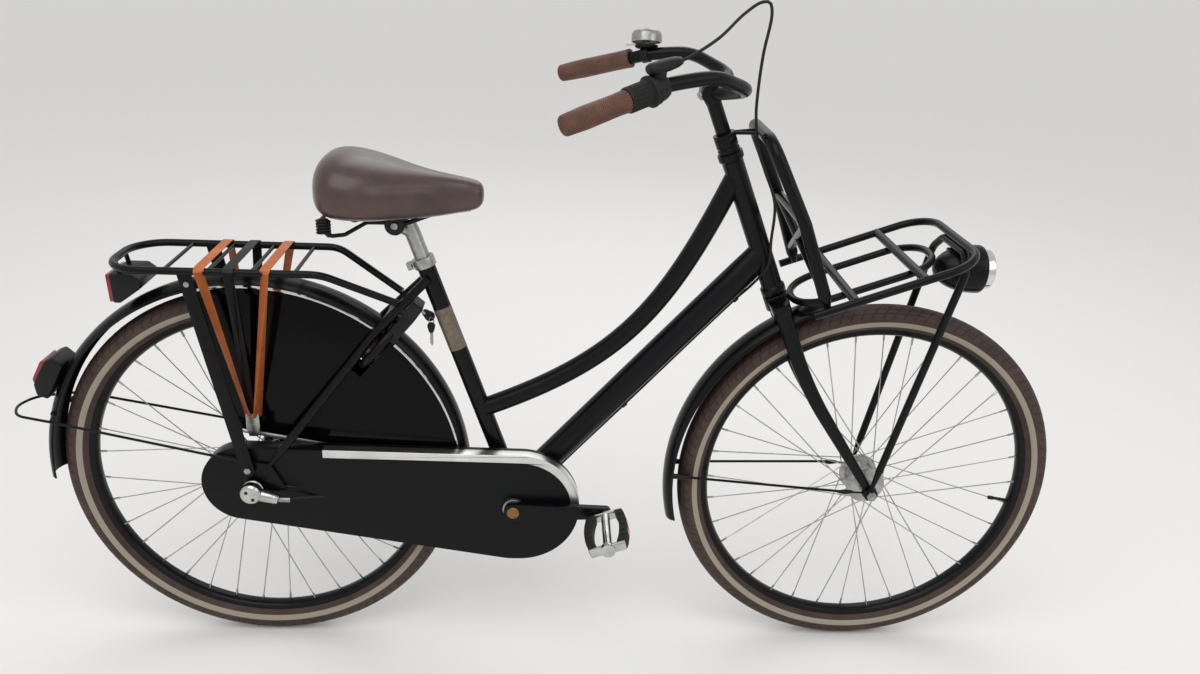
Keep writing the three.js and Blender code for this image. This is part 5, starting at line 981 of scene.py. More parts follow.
cover = sideFlat("case_cover", [caseOutline(0)], -case["outer"], -case["inner"] - case["lip"], enamel)
rounded(cover, case["edge"], 4, 60)
hollow = [caseOutline(-case["wall"] - 1)]
without(cover, sideFlat("case_hollow", hollow, -case["outer"] + case["wall"], 10, satin),
        crossRod("case_axle_hole", rearAxle.x, rearAxle.z, *case["cutEnds"], case["axleHole"], enamel, 8),
        crossRod("case_crank_hole", bracket.x, bracket.z, *case["cutEnds"], case["crankHole"], enamel, 10))
dress("chain_case_cover", [cover], "frame")

trimLook = {"from": 124, "drop": 15, "proud": 0.9, "back": -44, "lowest": radians(-8), "round": 4.5,
            "frontFrom": 300, "rearTo": 100, "turnX": 474}


def turnRound(spot):
    return -atan2(spot[1] - case["discs"][1][1], spot[0] - trimLook["turnX"])


def heightOf(spot):
    return spot[1]


def trimRow(grow):  # the case's edge from the plain stretch over the chain, round its front
    outline = caseOutline(grow)
    front, back = case["discs"][1], case["discs"][0]
    lowest = front[1] + (front[2] + grow) * sin(trimLook["lowest"])
    edge = sorted(((x, z) for x, z in outline if x > trimLook["frontFrom"] and z > lowest), key=turnRound)
    rear = max(((x, z) for x, z in outline if x < trimLook["rearTo"] and z > back[1]), key=heightOf)
    share = (trimLook["from"] - rear[0]) / (edge[0][0] - rear[0])
    return [(trimLook["from"], rear[1] + (edge[0][1] - rear[1]) * share), *edge]


trimShape = [*trimRow(trimLook["proud"]), *reversed(trimRow(-trimLook["drop"]))]
trim = sideFlat("case_trim", [trimShape], -case["outer"] - trimLook["proud"], trimLook["back"], brightStrip)
placed("case_trim", [rounded(trim, trimLook["round"], 4, 50)], "frame", [])
backOutlines = [caseOutline(0), *(belt(hole) for hole in case["backHoles"])]
backPanel = sideFlat("case_back", backOutlines, -case["inner"], -case["inner"] + case["panel"], enamel, 0.5)
dress("chain_case_back", [backPanel], "frame")
for node in ("chain", "rear_sprocket"):  # hidden in the case, shown as they are
    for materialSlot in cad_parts[node].material_slots:
        materialSlot.material = zinc["material"]
print("chain case made")

# Rear axle: rows are name, first y, last y, radius, finish, smoothness and edge.
rearAxleRods = [
    ("axle_bolt", -74.3, 82.3, 5, zinc, 4, 0.6), ("nut_right", -74.3, -70.3, 9.5, zinc, 1, 0.8),
    ("nut_left", 73.9, 78.3, 9.5, zinc, 1, 0.8), ("cone_right", -64.7, -54.5, 9.5, zinc, 6, 0.6),
    ("cone_left", 58.3, 64.7, 9.5, zinc, 6, 0.6),
]
brakeArm = {"discs": [(150, 350, 5.3), (0, 358, 11.4)], "inner": 70.4, "outer": 73.6, "clip": 4,
            "clipFrom": 57}
armEnd = brakeArm["discs"][0]
dress("rear_axle", [
    *crossRods(rearAxle.x, rearAxle.z, rearAxleRods),
    sideFlat("brake_arm", [belt(brakeArm["discs"])], brakeArm["inner"], brakeArm["outer"], zinc, 0.8),
    crossRod("brake_clip", armEnd[0], armEnd[1], brakeArm["clipFrom"], brakeArm["outer"], brakeArm["clip"],
             zinc, 3, 0.6),
], "frame")

# Shift unit on the rear axle
unit = {
    "barrel": [(0, 74.6), (15, 74.6), (19, 76.6), (19, 80.6), (17, 81.6), (17, 83.6), (19, 84.6), (19, 97.1),
               (16, 101.1), (9, 102.1), (0, 102.1)],
    "middle": -88.35, "nose": [(6, 355), (28, 349.5), (46, 344)], "noseRadii": [11.5, 11, 8.5], "ribs": 5,
    "ribHalf": 1.2, "ferruleX": 68, "screws": ((-6, 364), (5, 350)), "screwEnds": (-102.7, -101.1),
}
nose = [at(x, unit["middle"], z) for x, z in unit["nose"]]
noseDir = (nose[-1] - nose[0]).normalized()
unitParts = [turned("unit_barrel", unit["barrel"], rearAxle, -unitY, polished, 40, 0.5),
             tubed("unit_nose", nose, 11, polished, unit["noseRadii"])]
for k in range(unit["ribs"]):
    ribEnds = [nose[0].lerp(nose[-1], 0.35 + 0.12 * k) + noseDir * s * unit["ribHalf"] for s in bothSides]
    unitParts.append(rod("unit_rib", *ribEnds, 11.4 - 0.35 * k, polished, 6, 0.4))
ferruleEnd = at(unit["ferruleX"], nose[-1].y, nose[-1].z)
unitParts.append(rod("unit_ferrule", nose[-1], ferruleEnd, 5, zinc, 4, 1))
for x, z in unit["screws"]:
    unitParts.append(crossRod("unit_screw", x, z, *unit["screwEnds"], 3.2, moulded, 4, 0.3))
placed("gear_unit_skin", unitParts, "frame", ["gear_shift_unit"])

# Cranks
crank = {
    "length": 170, "inner": 71, "outer": 84, "hub": 17, "eye": 11, "edge": 3.2, "boss": 8, "bossProud": 0.4,
    "cap": [(0, 83.7), (11.5, 83.7), (11.5, 85.6), (9, 87), (0, 87)],
    "ring": [(21, -47.2), (75.5, -47.2), (75.5, -44.8), (21, -44.8)],
    "rightRods": [("spindle", -81, 81, 8.5, zinc), ("crank_boss", -71.3, -46, 20, zinc, 10, 1)],
    "leftRods": [("crank_boss", 39, 71.3, 19, satin, 10, 1.5)],
}


def crankEnd(s):
    return bracket - unitX * crank["length"] * s


def crankArm(s):
    end = crankEnd(s)
    low, high = sorted((s * crank["inner"], s * crank["outer"]))
    shape = belt([(bracket.x, bracket.z, crank["hub"]), (end.x, end.z, crank["eye"])])
    return [sideFlat("crank_arm", [shape], low, high, satin, crank["edge"]),
            turned("dust_cap", crank["cap"], bracket, unitY * s, bronze, 32, 0.4),
            crossRod("pedal_boss", end.x, end.z, low - crank["bossProud"], high + crank["bossProud"],
                     crank["boss"], zinc, 4, 0.5)]


rightParts = [*crankArm(rightSide), *crossRods(bracket.x, bracket.z, crank["rightRods"]),
              turned("chainring_disc", crank["ring"], bracket, unitY, zinc, 64)]
dress("right_crank", rightParts, "cranks")
leftParts = [*crankArm(leftSide), *crossRods(bracket.x, bracket.z, crank["leftRods"])]
dress("left_crank", leftParts, "cranks")

# Pedals
pedal = {
    "inner": 88, "outer": 198, "reach": 40, "block": 15, "bow": 7, "thickness": 22, "tilt": radians(18),
    "plate": 5, "plateX": 32.4, "plateZ": 9, "sleeve": 8.2, "cap": 13, "capProud": 5, "stub": 6,
    "ribX": (26, 36),
    "ribPitch": 17, "ribHalf": 3.5, "ribZ": 11, "ribRise": 0.9, "glassX": (33.2, 39.8), "glassY": 21,
    "glassZ": 7,
}


def pedalPiece(side, s):
    half = (pedal["outer"] - pedal["inner"]) / 2
    middle = (pedal["inner"] + pedal["outer"]) / 2
    parts = []
    for end in bothSides:
        outside = []
        for i in range(9):
            u = i / 8 * 2 - 1
            outside.append((end * (pedal["reach"] - pedal["bow"] * u * u),
                            middle + u * (half - pedal["plate"])))
        inside = [(x - end * pedal["block"], y) for x, y in reversed(outside)]
        shape = [(x, s * y) for x, y in [*outside, *inside]]
        parts.append(flat("pedal_block", [shape], pedal["thickness"], at(0, 0, -pedal["thickness"] / 2),
                          unitX, unitY, rubber, 2))
        ribX = sorted(end * x for x in pedal["ribX"])
        for k in range(5):  # raised ribs on both faces of the rubber
            y = s * (middle + (k - 2) * pedal["ribPitch"])
            for z in (-pedal["ribZ"], pedal["ribZ"]):
                low = (ribX[0], y - pedal["ribHalf"], z - pedal["ribRise"])
                high = (ribX[1], y + pedal["ribHalf"], z + pedal["ribRise"])
                parts.append(block("pedal_rib", low, high, rubber, 0.8))
        glassX = sorted(end * x for x in pedal["glassX"])
        low = (glassX[0], s * middle - pedal["glassY"], -pedal["glassZ"])
        high = (glassX[1], s * middle + pedal["glassY"], pedal["glassZ"])
        parts.append(block("pedal_reflector", low, high, amberLens))
    for y in (pedal["inner"], pedal["outer"] - pedal["plate"]):
        a, b = sorted((s * y, s * (y + pedal["plate"])))
        parts.append(block("pedal_plate", (-pedal["plateX"], a, -pedal["plateZ"]),
                           (pedal["plateX"], b, pedal["plateZ"]), polished, 1.5))
    parts += crossRods(0, 0, [
        ("pedal_sleeve", s * pedal["inner"], s * pedal["outer"], pedal["sleeve"], polished, 8),
        ("pedal_cap", s * (pedal["outer"] - pedal["plate"]), s * (pedal["outer"] + pedal["capProud"]),
         pedal["cap"], polished, 8, 2.5),
        ("pedal_stub", s * crank["inner"], s * (pedal["inner"] + pedal["plate"]), pedal["stub"], zinc, 5),
    ])
    made = atOrigin(joined("pedal", parts))
    made.data.transform(Matrix.Translation(inFrame(crankEnd(s))) @ Matrix.Rotation(-pedal["tilt"], 4, "Y"))
    dress(side + "_pedal", [made], "pedal_" + side)


pedalPiece("right", rightSide)
pedalPiece("left", leftSide)
print("drive made")

# Rear carrier, its struts and its straps
carrier = {
    "radius": 6.5, "halfWidth": 78, "height": 770, "rail": [(262, 31, 706), (145, 78, 770), (-210, 78, 770)],
    "bend": 60, "bars": 4, "barRadius": 3.4, "firstBar": -111, "lastBar": 102,
}
rackParts = [tubed("carrier_rail", bent(mirrored(carrier["rail"]), carrier["bend"]), carrier["radius"],
                   satin)]
for i in range(carrier["bars"]):
    x = carrier["firstBar"] + (carrier["lastBar"] - carrier["firstBar"]) * i / (carrier["bars"] - 1)
    rackParts.append(crossRod("carrier_bar", x, carrier["height"], -carrier["halfWidth"],
                              carrier["halfWidth"], carrier["barRadius"], satin, 4))
dress("rear_rack", rackParts, "frame")

strut = {"discs": [(-6, 397, 11.5), (-77, 763.5, 11.5)], "inner": 75, "outer": 79, "top": (-74, 748)}
for s, side in sideNames.items():
    foot = strut["discs"][0][:2]
    dress(side + "_rack_strut", [
        sideFlat("strut", [belt(strut["discs"])], s * strut["inner"], s * strut["outer"], satin, 1.2),
        *crossRods(*foot, [("strut_bolt", s * 70.4, s * 81, 4, zinc, 3),
                           ("strut_bolt_head", s * 79, s * 83, 6.5, zinc, 1, 0.6)]),
        crossRod("strut_top_bolt", *strut["top"], s * 79, s * 82, 5, zinc, 3, 0.8),
    ], "frame")

strap = {
    "width": 17, "thickness": 1.6, "hook": (-2, 35, 482), "slant": 0.15, "places": (-50, -3, 57),
    "corner": 0.75,
    "hookShape": [(-14, 490), (-15, 464), (-11, 444), (6, 444), (10, 464), (10, 490)],
    "hookEnds": (31.3, 37.8),
    "rivet": (-2, 468), "rivetEnds": (37, 39),
}
lift = carrier["radius"] + layout["clear"] + strap["thickness"]
straps = []
for x, look in zip(strap["places"], (orangeBand, blackBand, orangeBand)):
    hookX, hookY, hookZ = strap["hook"]
    path = mirrored([(hookX + x * strap["slant"], hookY, hookZ),
                     (x, carrier["halfWidth"] + lift, carrier["height"] + 2),
                     (x, carrier["halfWidth"] + lift * strap["corner"],
                      carrier["height"] + lift * strap["corner"]),
                     (x, carrier["halfWidth"] - 1, carrier["height"] + lift)])
    line = drawn("strap", path)
    across, up = strap["width"] / 2 * mm, strap["thickness"] / 2 * mm
    section = [(-across, -up, 0), (across, -up, 0), (across, up, 0), (-across, up, 0)]
    straps.append(rounded(swept(line, newCurve("strap_section", [section], "2D", True), look), 0.35, 2, 60))
for s in bothSides:  # grey hooks over the coat guards' lower edge
    straps.append(sideFlat("strap_hook", [strap["hookShape"]], *(s * y for y in strap["hookEnds"]), alloy,
                           1.8))
    straps.append(crossRod("strap_rivet", *strap["rivet"], *(s * y for y in strap["rivetEnds"]), 3.5, zinc, 4,
                           0.6))
dress("carrier_straps", straps, "frame")

# Tail lamp and reflector
tailLamp = {
    "turn": radians(152), "shape": [(0, 38), (0, -36), (21, -42), (31, -30), (33, 22), (21, 40)], "width": 60,
    "lens": [(29, -27), (35, -27), (38.6, -22), (38.6, 16), (35, 22), (29, 22)], "lensWidth": 50,
}
lampOut = at(cos(tailLamp["turn"]), 0, sin(tailLamp["turn"]))
lampDown = at(-lampOut.z, 0, lampOut.x)
lampFoot = polar(rearAxle, guard["outer"], tailLamp["turn"], tailLamp["width"] / 2)
lensFoot = polar(rearAxle, guard["outer"], tailLamp["turn"], tailLamp["lensWidth"] / 2)
dress("rear_light", [
    flat("tail_lamp_body", [tailLamp["shape"]], tailLamp["width"], lampFoot, lampOut, lampDown, moulded, 4),
    flat("tail_lamp_lens", [tailLamp["lens"]], tailLamp["lensWidth"], lensFoot, lampOut, lampDown, redLens,
         3),
], "frame")

reflector = {
    "shape": [(-217, 748), (-215, 696), (-204, 696), (-168, 722), (-165, 738), (-178, 748)], "half": 40,
    "glass": [(-224, 746), (-222, 697), (-214, 697), (-216, 746)], "glassHalf": 36,
    "arm": [(-205, 22, 744), (-210, 22, 768)], "armRadius": 4,
}
dress("rack_reflector", [
    sideFlat("reflector_body", [reflector["shape"]], -reflector["half"], reflector["half"], moulded, 3),
    sideFlat("reflector_glass", [reflector["glass"]], -reflector["glassHalf"], reflector["glassHalf"],
             redLens, 1.5),
    *(rod("reflector_arm", *(sided(s, *spot) for spot in reflector["arm"]), reflector["armRadius"], satin, 3)
      for s in bothSides),
], "frame")
print("rear carrier made")

lockDir = at(cos(lockAngle), 0, sin(lockAngle))
lockCross = at(-lockDir.z, 0, lockDir.x)
lockCentre = rearAxle + lockDir * 345
# Coat guards
coat = {
    "gap": 29.3, "thickness": 1.5, "edge": 373, "from": radians(104), "to": radians(9), "steps": 48,
    "trim": 2.8,
    "lower": [(-24, 449), (60, 434), (131, 421), (230, 415), (352, 412)], "corner": (-100, 712),
    "trimCorner": (-98, 710), "strip": 8, "stripProud": 1.2,
    "cut": [(-64, -12.8), (60, -12.8), (60, 12.8), (-64, 12.8)],
    "cutDepth": 60, "lockGap": 15, "insetShare": 0.9945,
}


def onLock(angle, radius, rise=0.0):
    return lockCentre + lockDir * radius * cos(angle) + unitY * radius * sin(angle) + lockCross * rise


for s, side in sideNames.items():
    sweep = coat["from"] - coat["to"]
    arc = [polar(rearAxle, coat["edge"] - 0.4, coat["to"] + sweep * k / coat["steps"])
           for k in range(coat["steps"] + 1)]
    outline = [*coat["lower"], *((spot.x, spot.z) for spot in arc), coat["corner"]]
    near, far = s * coat["gap"], s * (coat["gap"] + coat["thickness"])
    panel = sideFlat("coat_panel", [outline], near, far, gloss, 0.3)
    cutAt = lockCentre + unitY * (near + coat["cutDepth"] / 2)
    without(panel, flat("coat_gap", [coat["cut"]], coat["cutDepth"], cutAt, lockDir, lockCross, gloss))
    parts = [panel]
    y = s * (coat["gap"] + 1.6)
    beforeLock, afterLock = [], []  # the trim is parted where the lock passes through
    for spot in arc:
        across = (spot - lockCentre).dot(lockCross)
        onTrim = rearAxle + (spot + unitY * y - rearAxle) * coat["insetShare"]
        if across < -coat["lockGap"]:
            beforeLock.append(onTrim)
        elif across > coat["lockGap"]:
            afterLock.append(onTrim)
    afterLock.append(at(coat["trimCorner"][0], y, coat["trimCorner"][1]))
    afterLock.append(at(coat["lower"][0][0], y, coat["lower"][0][1] + 1.5))
    for line in (beforeLock, afterLock):
        parts.append(tubed("coat_trim", line, coat["trim"], chrome, sides=3))
    stripShape = [*coat["lower"], *((x, z + coat["strip"]) for x, z in reversed(coat["lower"]))]
    parts.append(sideFlat("coat_strip", [stripShape], far, far + s * coat["stripProud"], brightStrip, 0.4))
    dress(side + "_coat_guard", parts, "frame")

# Ring lock with its bar and key
lock = {
    "ring": 52, "half": 8, "reach": radians(138), "housingDepth": 22, "back": 17, "eye": 47.5,
    "keyRadius": 95.5,
    "housing": [(24, 38), (24, -38), (46, -40), (82, -38), (106, -20), (106, 20), (82, 38), (46, 40)],
    "face": [(52, 30), (52, -30), (80, -31), (98, -16), (98, 16), (80, 31)], "faceDepth": 1.2, "lug": 6,
    "lugAlong": 84, "bar": 4.5, "barFrom": radians(-12), "barTo": radians(134), "knobAt": radians(46),
}


def lockArc(name, thick, start, end, look, count, sides):
    path = [onLock(start + (end - start) * k / count, lock["ring"]) for k in range(count + 1)]
    return tubed(name, path, thick, look, sides=sides)


housing = flat("lock_housing", [lock["housing"]], lock["housingDepth"], lockCentre - lockCross * lock["back"],
               lockDir, unitY, moulded, 4)
without(housing, rod("lock_eye", lockCentre - lockCross * 40, lockCentre + lockCross * 40, lock["eye"],
                     moulded, 14),
        rod("lock_key_hole", onLock(0, lock["keyRadius"], -40), onLock(0, lock["keyRadius"], 0), 4.3, moulded,
            4))
lockParts = [housing, lockArc("lock_ring", lock["half"], -lock["reach"], lock["reach"], satin, 44, 6)]
for s in bothSides:
    line = stayPath(s)
    along = [(spot - lockCentre).dot(lockDir) for spot in line[:2]]
    onStay = line[0].lerp(line[1], (lock["lugAlong"] - along[0]) / (along[1] - along[0]))
    rise = (onStay - lockCentre).dot(lockCross)
    lockParts.append(rod("lock_lug", onStay - lockCross * rise, onStay, lock["lug"], moulded, 4, 1))
face = flat("lock_face", [lock["face"]], lock["faceDepth"], lockCentre - lockCross * (lock["back"] + 1),
            lockDir, unitY, zinc, 0.5)
without(face, rod("face_key_hole", onLock(0, lock["keyRadius"], -40), onLock(0, lock["keyRadius"], 10), 5,
                  zinc, 4))
dress("ring_lock", [*lockParts, face], "frame")
knobAt = lock["knobAt"]
dress("lock_shackle", [
    lockArc("shackle_bar", lock["bar"], lock["barFrom"], lock["barTo"], zinc, 30, 4),
    rod("shackle_stem", onLock(knobAt, lock["ring"]), onLock(knobAt, 64), 3, zinc, 3),
    rod("shackle_knob", onLock(knobAt, 60.9), onLock(knobAt, 69.9), 6, moulded, 6, 2),
], "lock_bar")

key = {
    "bow": [(-5, 0, 6), (5, 0, 9)], "thick": 5, "bowDrop": 15, "ring": 8, "ringWire": 0.9, "ringSteps": 24,
    "spareBow": [(0, -5, 7), (0, -13, 5)], "spareThick": 3, "bladeThick": 1.6, "spareLift": 5,
    "blade": [(-3, -14), (3, -14), (3, -40), (0.5, -44), (-1.2, -40), (-3, -37), (-1.8, -33), (-3, -29),
              (-1.8, -25), (-3, -21)],
}
keyAt = onLock(0, lock["keyRadius"], -lock["back"])
bowAt = keyAt - lockCross * key["bowDrop"]
ringAt = bowAt - lockCross * 9 - unitZ * 5
ringPath = []
for k in range(key["ringSteps"]):
    turn = 2 * pi * k / key["ringSteps"]
    ringPath.append(ringAt + at(0.5 * cos(turn), 0.3 * cos(turn), sin(turn)) * key["ring"])
spareTop = ringAt + unitZ * (key["spareLift"] - key["ring"])
dress("lock_key", [
    rod("key_blade", keyAt + lockCross * 11.7, keyAt - lockCross * 10, 3, zinc, 3, 0.5),
    flat("key_bow", [belt(key["bow"])], key["thick"], bowAt + unitY * key["thick"] / 2, -lockCross, -lockDir,
         moulded, 1.2),
    tubed("key_ring", ringPath, key["ringWire"], zinc, loop=True, sides=2),
    flat("spare_bow", [belt(key["spareBow"])], key["spareThick"], spareTop - unitY * key["spareThick"] / 2,
         unitX, unitZ, moulded, 0.8),
    flat("spare_blade", [key["blade"]], key["bladeThick"], spareTop - unitY * key["bladeThick"] / 2, unitX,
         unitZ, zinc, 0.3),
], "key")
print("lock made")

# Fork
fork = {
    "column": [(0, -156), (22, -156), (22, -131), (21, -129.4), (15.7, -127.3), (12.7, -127.3), (12.7, 140.5),
               (19, 140.5), (19, 147), (17.5, 148), (17.5, 150), (19, 151), (19, 166.5), (11.8, 166.5),
               (11.8, 16.5), (0, 16.5)],
    "crown": [(-41, 0, 17), (41, 0, 17)], "crownDepth": 20, "crownAt": -156, "top": (-156.3, 43),
    "knee": (-305, 47),
    "tipY": 52.5, "bend": 900, "steps": 40, "blade": (11, 14), "taperShare": 0.43, "tip": 14,
    "tipEnds": (50, 55),
}
dress("fork_crown", [
    turned("crown_column", fork["column"], headPoint, headDir, satin, 40, 0.6),
    flat("crown_block", [belt(fork["crown"])], fork["crownDepth"], onHead(fork["crownAt"]), unitY,
         -headForward, satin, 4),
], "steering")
for s, side in sideNames.items():
    line = [onHead(run) + unitY * s * y for run, y in (fork["top"], fork["knee"])]
    line.append(frontAxle + unitY * s * fork["tipY"])
    path = spaced(bent(line, fork["bend"], radians(1)), fork["steps"])
    radii = [1 - fork["taperShare"] * (k / fork["steps"]) ** 1.8 for k in range(fork["steps"] + 1)]
    dress(side + "_fork_blade", [
        ovalTube("blade", path, fork["blade"], satin, radii),
        crossRod("blade_tip", frontAxle.x, frontAxle.z, *(s * y for y in fork["tipEnds"]), fork["tip"], satin,
                 8, 1),
    ], "steering")

# Places along half the handlebar: shares of its reach, half width and rise from the middle.
bars = {
    "radius": 11, "reach": 235, "halfWidth": 272, "rise": 32, "drop": 24, "straight": 180, "centre": 257.6,
    "shares": [(0.02, 0, -0.36), (0.135, 0.165, -0.14), (0.19, 0.324, 0.2), (0.09, 0.46, 0.62),
               (-0.072, 0.588, 1)],
    "aimShare": (-0.413, 0.706, 0.656),
}
barCentre = onHead(bars["centre"])


def barPlace(s, share):
    return barCentre + at(share[0] * bars["reach"], s * share[1] * bars["halfWidth"], share[2] * bars["rise"])


def barTip(s):
    return barCentre + at(-bars["reach"], s * bars["halfWidth"], -bars["drop"])


def barDir(s):
    return (barPlace(s, bars["aimShare"]) - barTip(s)).normalized()


def onBar(s, run):
    return barTip(s) + barDir(s) * run


def barUp(s):
    return (unitZ - barDir(s) * barDir(s).z).normalized()


def barHalf(s):
    return [onBar(s, bars["straight"] - 14), onBar(s, bars["straight"] - 7),
            *(barPlace(s, share) for share in reversed(bars["shares"][1:]))]


barLine = flowing([*barHalf(rightSide), barPlace(leftSide, bars["shares"][0]), *reversed(barHalf(leftSide))],
                  90)
barForm = tubed("bar_tube", [barTip(rightSide), *barLine, barTip(leftSide)], bars["radius"], satin, sides=7)
dress("handlebar", [barForm], "steering")

# Stem
stem = {
    "column": [(0, 90), (11.1, 90), (11.1, 166.8), (12.7, 166.8), (12.7, 225), (14.5, 233), (14.5, 245),
               (0, 245)],
    "clamp": [("stem_clamp", -22, 22, 17, satin, 10, 2.5)],
    "bolt": [("stem_bolt", -15.4, 15.4, 5, zinc, 4, 0.8)],
    "boltBack": 17,
}
clampAt = barPlace(leftSide, bars["shares"][0])
boltAt = clampAt - headForward * stem["boltBack"]
dress("stem", [
    turned("stem_column", stem["column"], headPoint, headDir, satin, 32, 0.5),
    *crossRods(clampAt.x, clampAt.z, stem["clamp"]), *crossRods(boltAt.x, boltAt.z, stem["bolt"]),
], "steering")

# Grips
gripLength = {rightSide: 103, leftSide: 145}
for s, side in sideNames.items():
    length = gripLength[s]
    profile = [(0, -6), (10, -6), (13.6, -5.6), (15, -4), (15.5, -2), (16.2, length * 0.12),
               (17, length * 0.3), (16.6, length * 0.55), (16.2, length * 0.8), (16.6, length - 6),
               (17, length - 3), (16.8, length), (11.4, length), (11.4, -0.3), (0, -0.3)]
    look = gripLook("moulded_grip_" + side, barTip(s), barDir(s))
    gripForm = turned(side + "_grip_form", profile, barTip(s), barDir(s), look, 48, 0.3)
    dress(side + "_grip", [gripForm], "steering")

# The ring's profile has ridges round it, and ribs lie along it.
twist = {"from": 103.3, "to": 146.3, "bore": 12.6, "ridges": 11, "pitch": 3.2, "low": 18.2, "high": 19,
         "end": 23.5,
         "ribs": 20, "rib": 1.1}
ringProfile = [(twist["bore"], twist["from"]), (18.4, twist["from"])]
for k in range(twist["ridges"]):
    base = twist["from"] + 2 + k * twist["pitch"]
    ringProfile += [(twist["high"], base), (twist["high"], base + 2.0), (twist["low"], base + 2.3),
                    (twist["low"], base + 2.9)]
ringProfile += [(twist["high"], twist["to"] - 5.2), (twist["end"], twist["to"] - 4),
                (twist["end"], twist["to"]), (twist["bore"], twist["to"])]
twistParts = [turned("twist_form", ringProfile, barTip(rightSide), barDir(rightSide), rubber, 40)]
for k in range(twist["ribs"]):
    turn = 2 * pi * k / twist["ribs"]
    outward = turnTo(barDir(rightSide)) @ at(cos(turn), sin(turn), 0) * twist["low"]
    ribEnds = [onBar(rightSide, run) + outward for run in (twist["from"] + 2, twist["to"] - 6)]
    twistParts.append(rod("twist_rib", *ribEnds, twist["rib"], rubber, 1))
dress("twist_ring", twistParts, "gear_twist_ring")

# The body's profile is (radius, run along the bar); the pod's shares are (run, width).
shifter = {
    "body": [(11.5, 146.6), (22, 146.6), (22, 154.6), (20, 156.6), (19.5, 163.6), (16, 172.6), (11.5, 172.6)],
    "podTilt": radians(-3), "podFrom": (147.6, 30), "neckFrom": (160.6, 12), "neckRun": 19, "neck": 12.4,
    "podLength": 60, "pod": (13.5, 9.5),
    "podShares": [(0, 0.55), (2, 0.78), (7, 0.97), (18, 1), (36, 0.98), (50, 0.84), (58, 0.6), (60, 0.42)],
}
podFrom, neckFrom = (onBar(rightSide, run) + barUp(rightSide) * rise
                     for run, rise in (shifter["podFrom"], shifter["neckFrom"]))
podDir = barDir(rightSide) * cos(shifter["podTilt"]) + barUp(rightSide) * sin(shifter["podTilt"])
podEnd = podFrom + podDir * shifter["podLength"]
podPath = [podFrom + podDir * run for run, wide in shifter["podShares"]]
dress("shifter_housing", [
    turned("shifter_body", shifter["body"], barTip(rightSide), barDir(rightSide), moulded, 40, 1),
    rod("shifter_neck", neckFrom, podFrom + podDir * shifter["neckRun"], shifter["neck"], moulded, 8, 1.5),
    ovalTube("shifter_pod", podPath, shifter["pod"], moulded, [wide for run, wide in shifter["podShares"]]),
], "steering")

# One cable from the shifter to the gear unit, with a loop of slack beside the head tube.
cableRoute = {
    "upper": [(768, -126, 1176), (812, -82, 1210), (840, -63, 1226), (853, -60, 1226), (858, -60, 1210),
              (851, -60, 1150), (849, -57, 1100), (852, -46, 1050)],
    "neck": [(902, -33, 838), (903, -27, 792)],
    "lower": [(486, -6, 293), (452, -15, 291), (400, -29, 312), (330, -38, 320), (240, -46, 327),
              (150, -56, 333), (98, -68, 338), (52, unit["middle"], 344)],
    "underShares": (0.86, 0.42, 0.14), "bendReach": 55, "count": 260,
}
meet = onHead(118) + at(46, -38, 0)
cablePoints = [podEnd - podDir * 3, podEnd + podDir * 8, *(at(*spot) for spot in cableRoute["upper"]),
               meet + headDir * 34, meet + headDir * 0.3, meet - headDir * 60,
               *(at(*spot) for spot in cableRoute["neck"]), cableUnder(0.92) - unitY * 5,
               *(cableUnder(share) for share in cableRoute["underShares"]),
               *(at(*spot) for spot in cableRoute["lower"])]
cableSkin = tubed("gear_cable", flowing(cablePoints, cableRoute["count"]), cable["radius"], rubber, sides=3)
cableSkin.name = "gear_cable"
only(cableSkin)
bpy.ops.object.shade_smooth()
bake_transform(cableSkin)
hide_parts("shift_cable_lower", "shift_cable_upper")

# Bell and its lever
bell = {
    "axis": at(0, 0.25, 1).normalized(), "run": 176, "lift": 14,
    "dome": [(0, 32), (8, 31.6), (15, 30.7), (20.5, 29), (24.6, 26.2), (26.9, 22), (27.5, 16.5), (27.5, 8),
             (25.5, 8), (25.5, 12), (24.8, 16.6), (22.5, 21.6), (19, 25.2), (14, 27.6), (6, 29), (6, 0),
             (0, 0)],
    "nut": [(0, 33.4), (3, 33), (4, 31.5), (4, 30), (0, 30)],
    "foot": [(0, -3), (17, -3), (21, 0), (21, 3), (0, 3)],
    "tab": [(-3.5, -2), (0, -3.5), (19, -5), (24, -5), (27, -2.5), (27, 2.5), (24, 5), (19, 5), (0, 3.5),
            (-3.5, 2)],
    "strapHalf": 7, "strap": 14, "leverOut": 15, "tabLift": 3.3, "tabThick": 3, "pin": 3.2,
    "pinEnds": (-2, 4.8),
}
bellFoot = onBar(leftSide, bell["run"])
bellBase = bellFoot + bell["axis"] * bell["lift"]
strapEnds = [bellFoot + barDir(leftSide) * s * bell["strapHalf"] for s in bothSides]
dress("bell", [
    turned("bell_dome", bell["dome"], bellBase, bell["axis"], nickel, 56),
    turned("bell_nut", bell["nut"], bellBase, bell["axis"], zinc, 24),
    turned("bell_foot", bell["foot"], bellBase, bell["axis"], moulded, 40, 1),
    rod("bell_strap", *strapEnds, bell["strap"], moulded, 8, 1.5),
], "steering")
leverOut = (bell["axis"] * barDir(leftSide).dot(bell["axis"]) - barDir(leftSide)).normalized()
leverAt = bellBase + leverOut * bell["leverOut"]
pinEnds = [leverAt + bell["axis"] * rise for rise in bell["pinEnds"]]
dress("bell_lever", [
    flat("bell_tab", [bell["tab"]], bell["tabThick"], leverAt + bell["axis"] * bell["tabLift"], leverOut,
         bell["axis"].cross(leverOut), chrome, 0.8),
    rod("bell_pin", *pinEnds, bell["pin"], zinc, 4),
], "bell_thumb")
print("bars made")

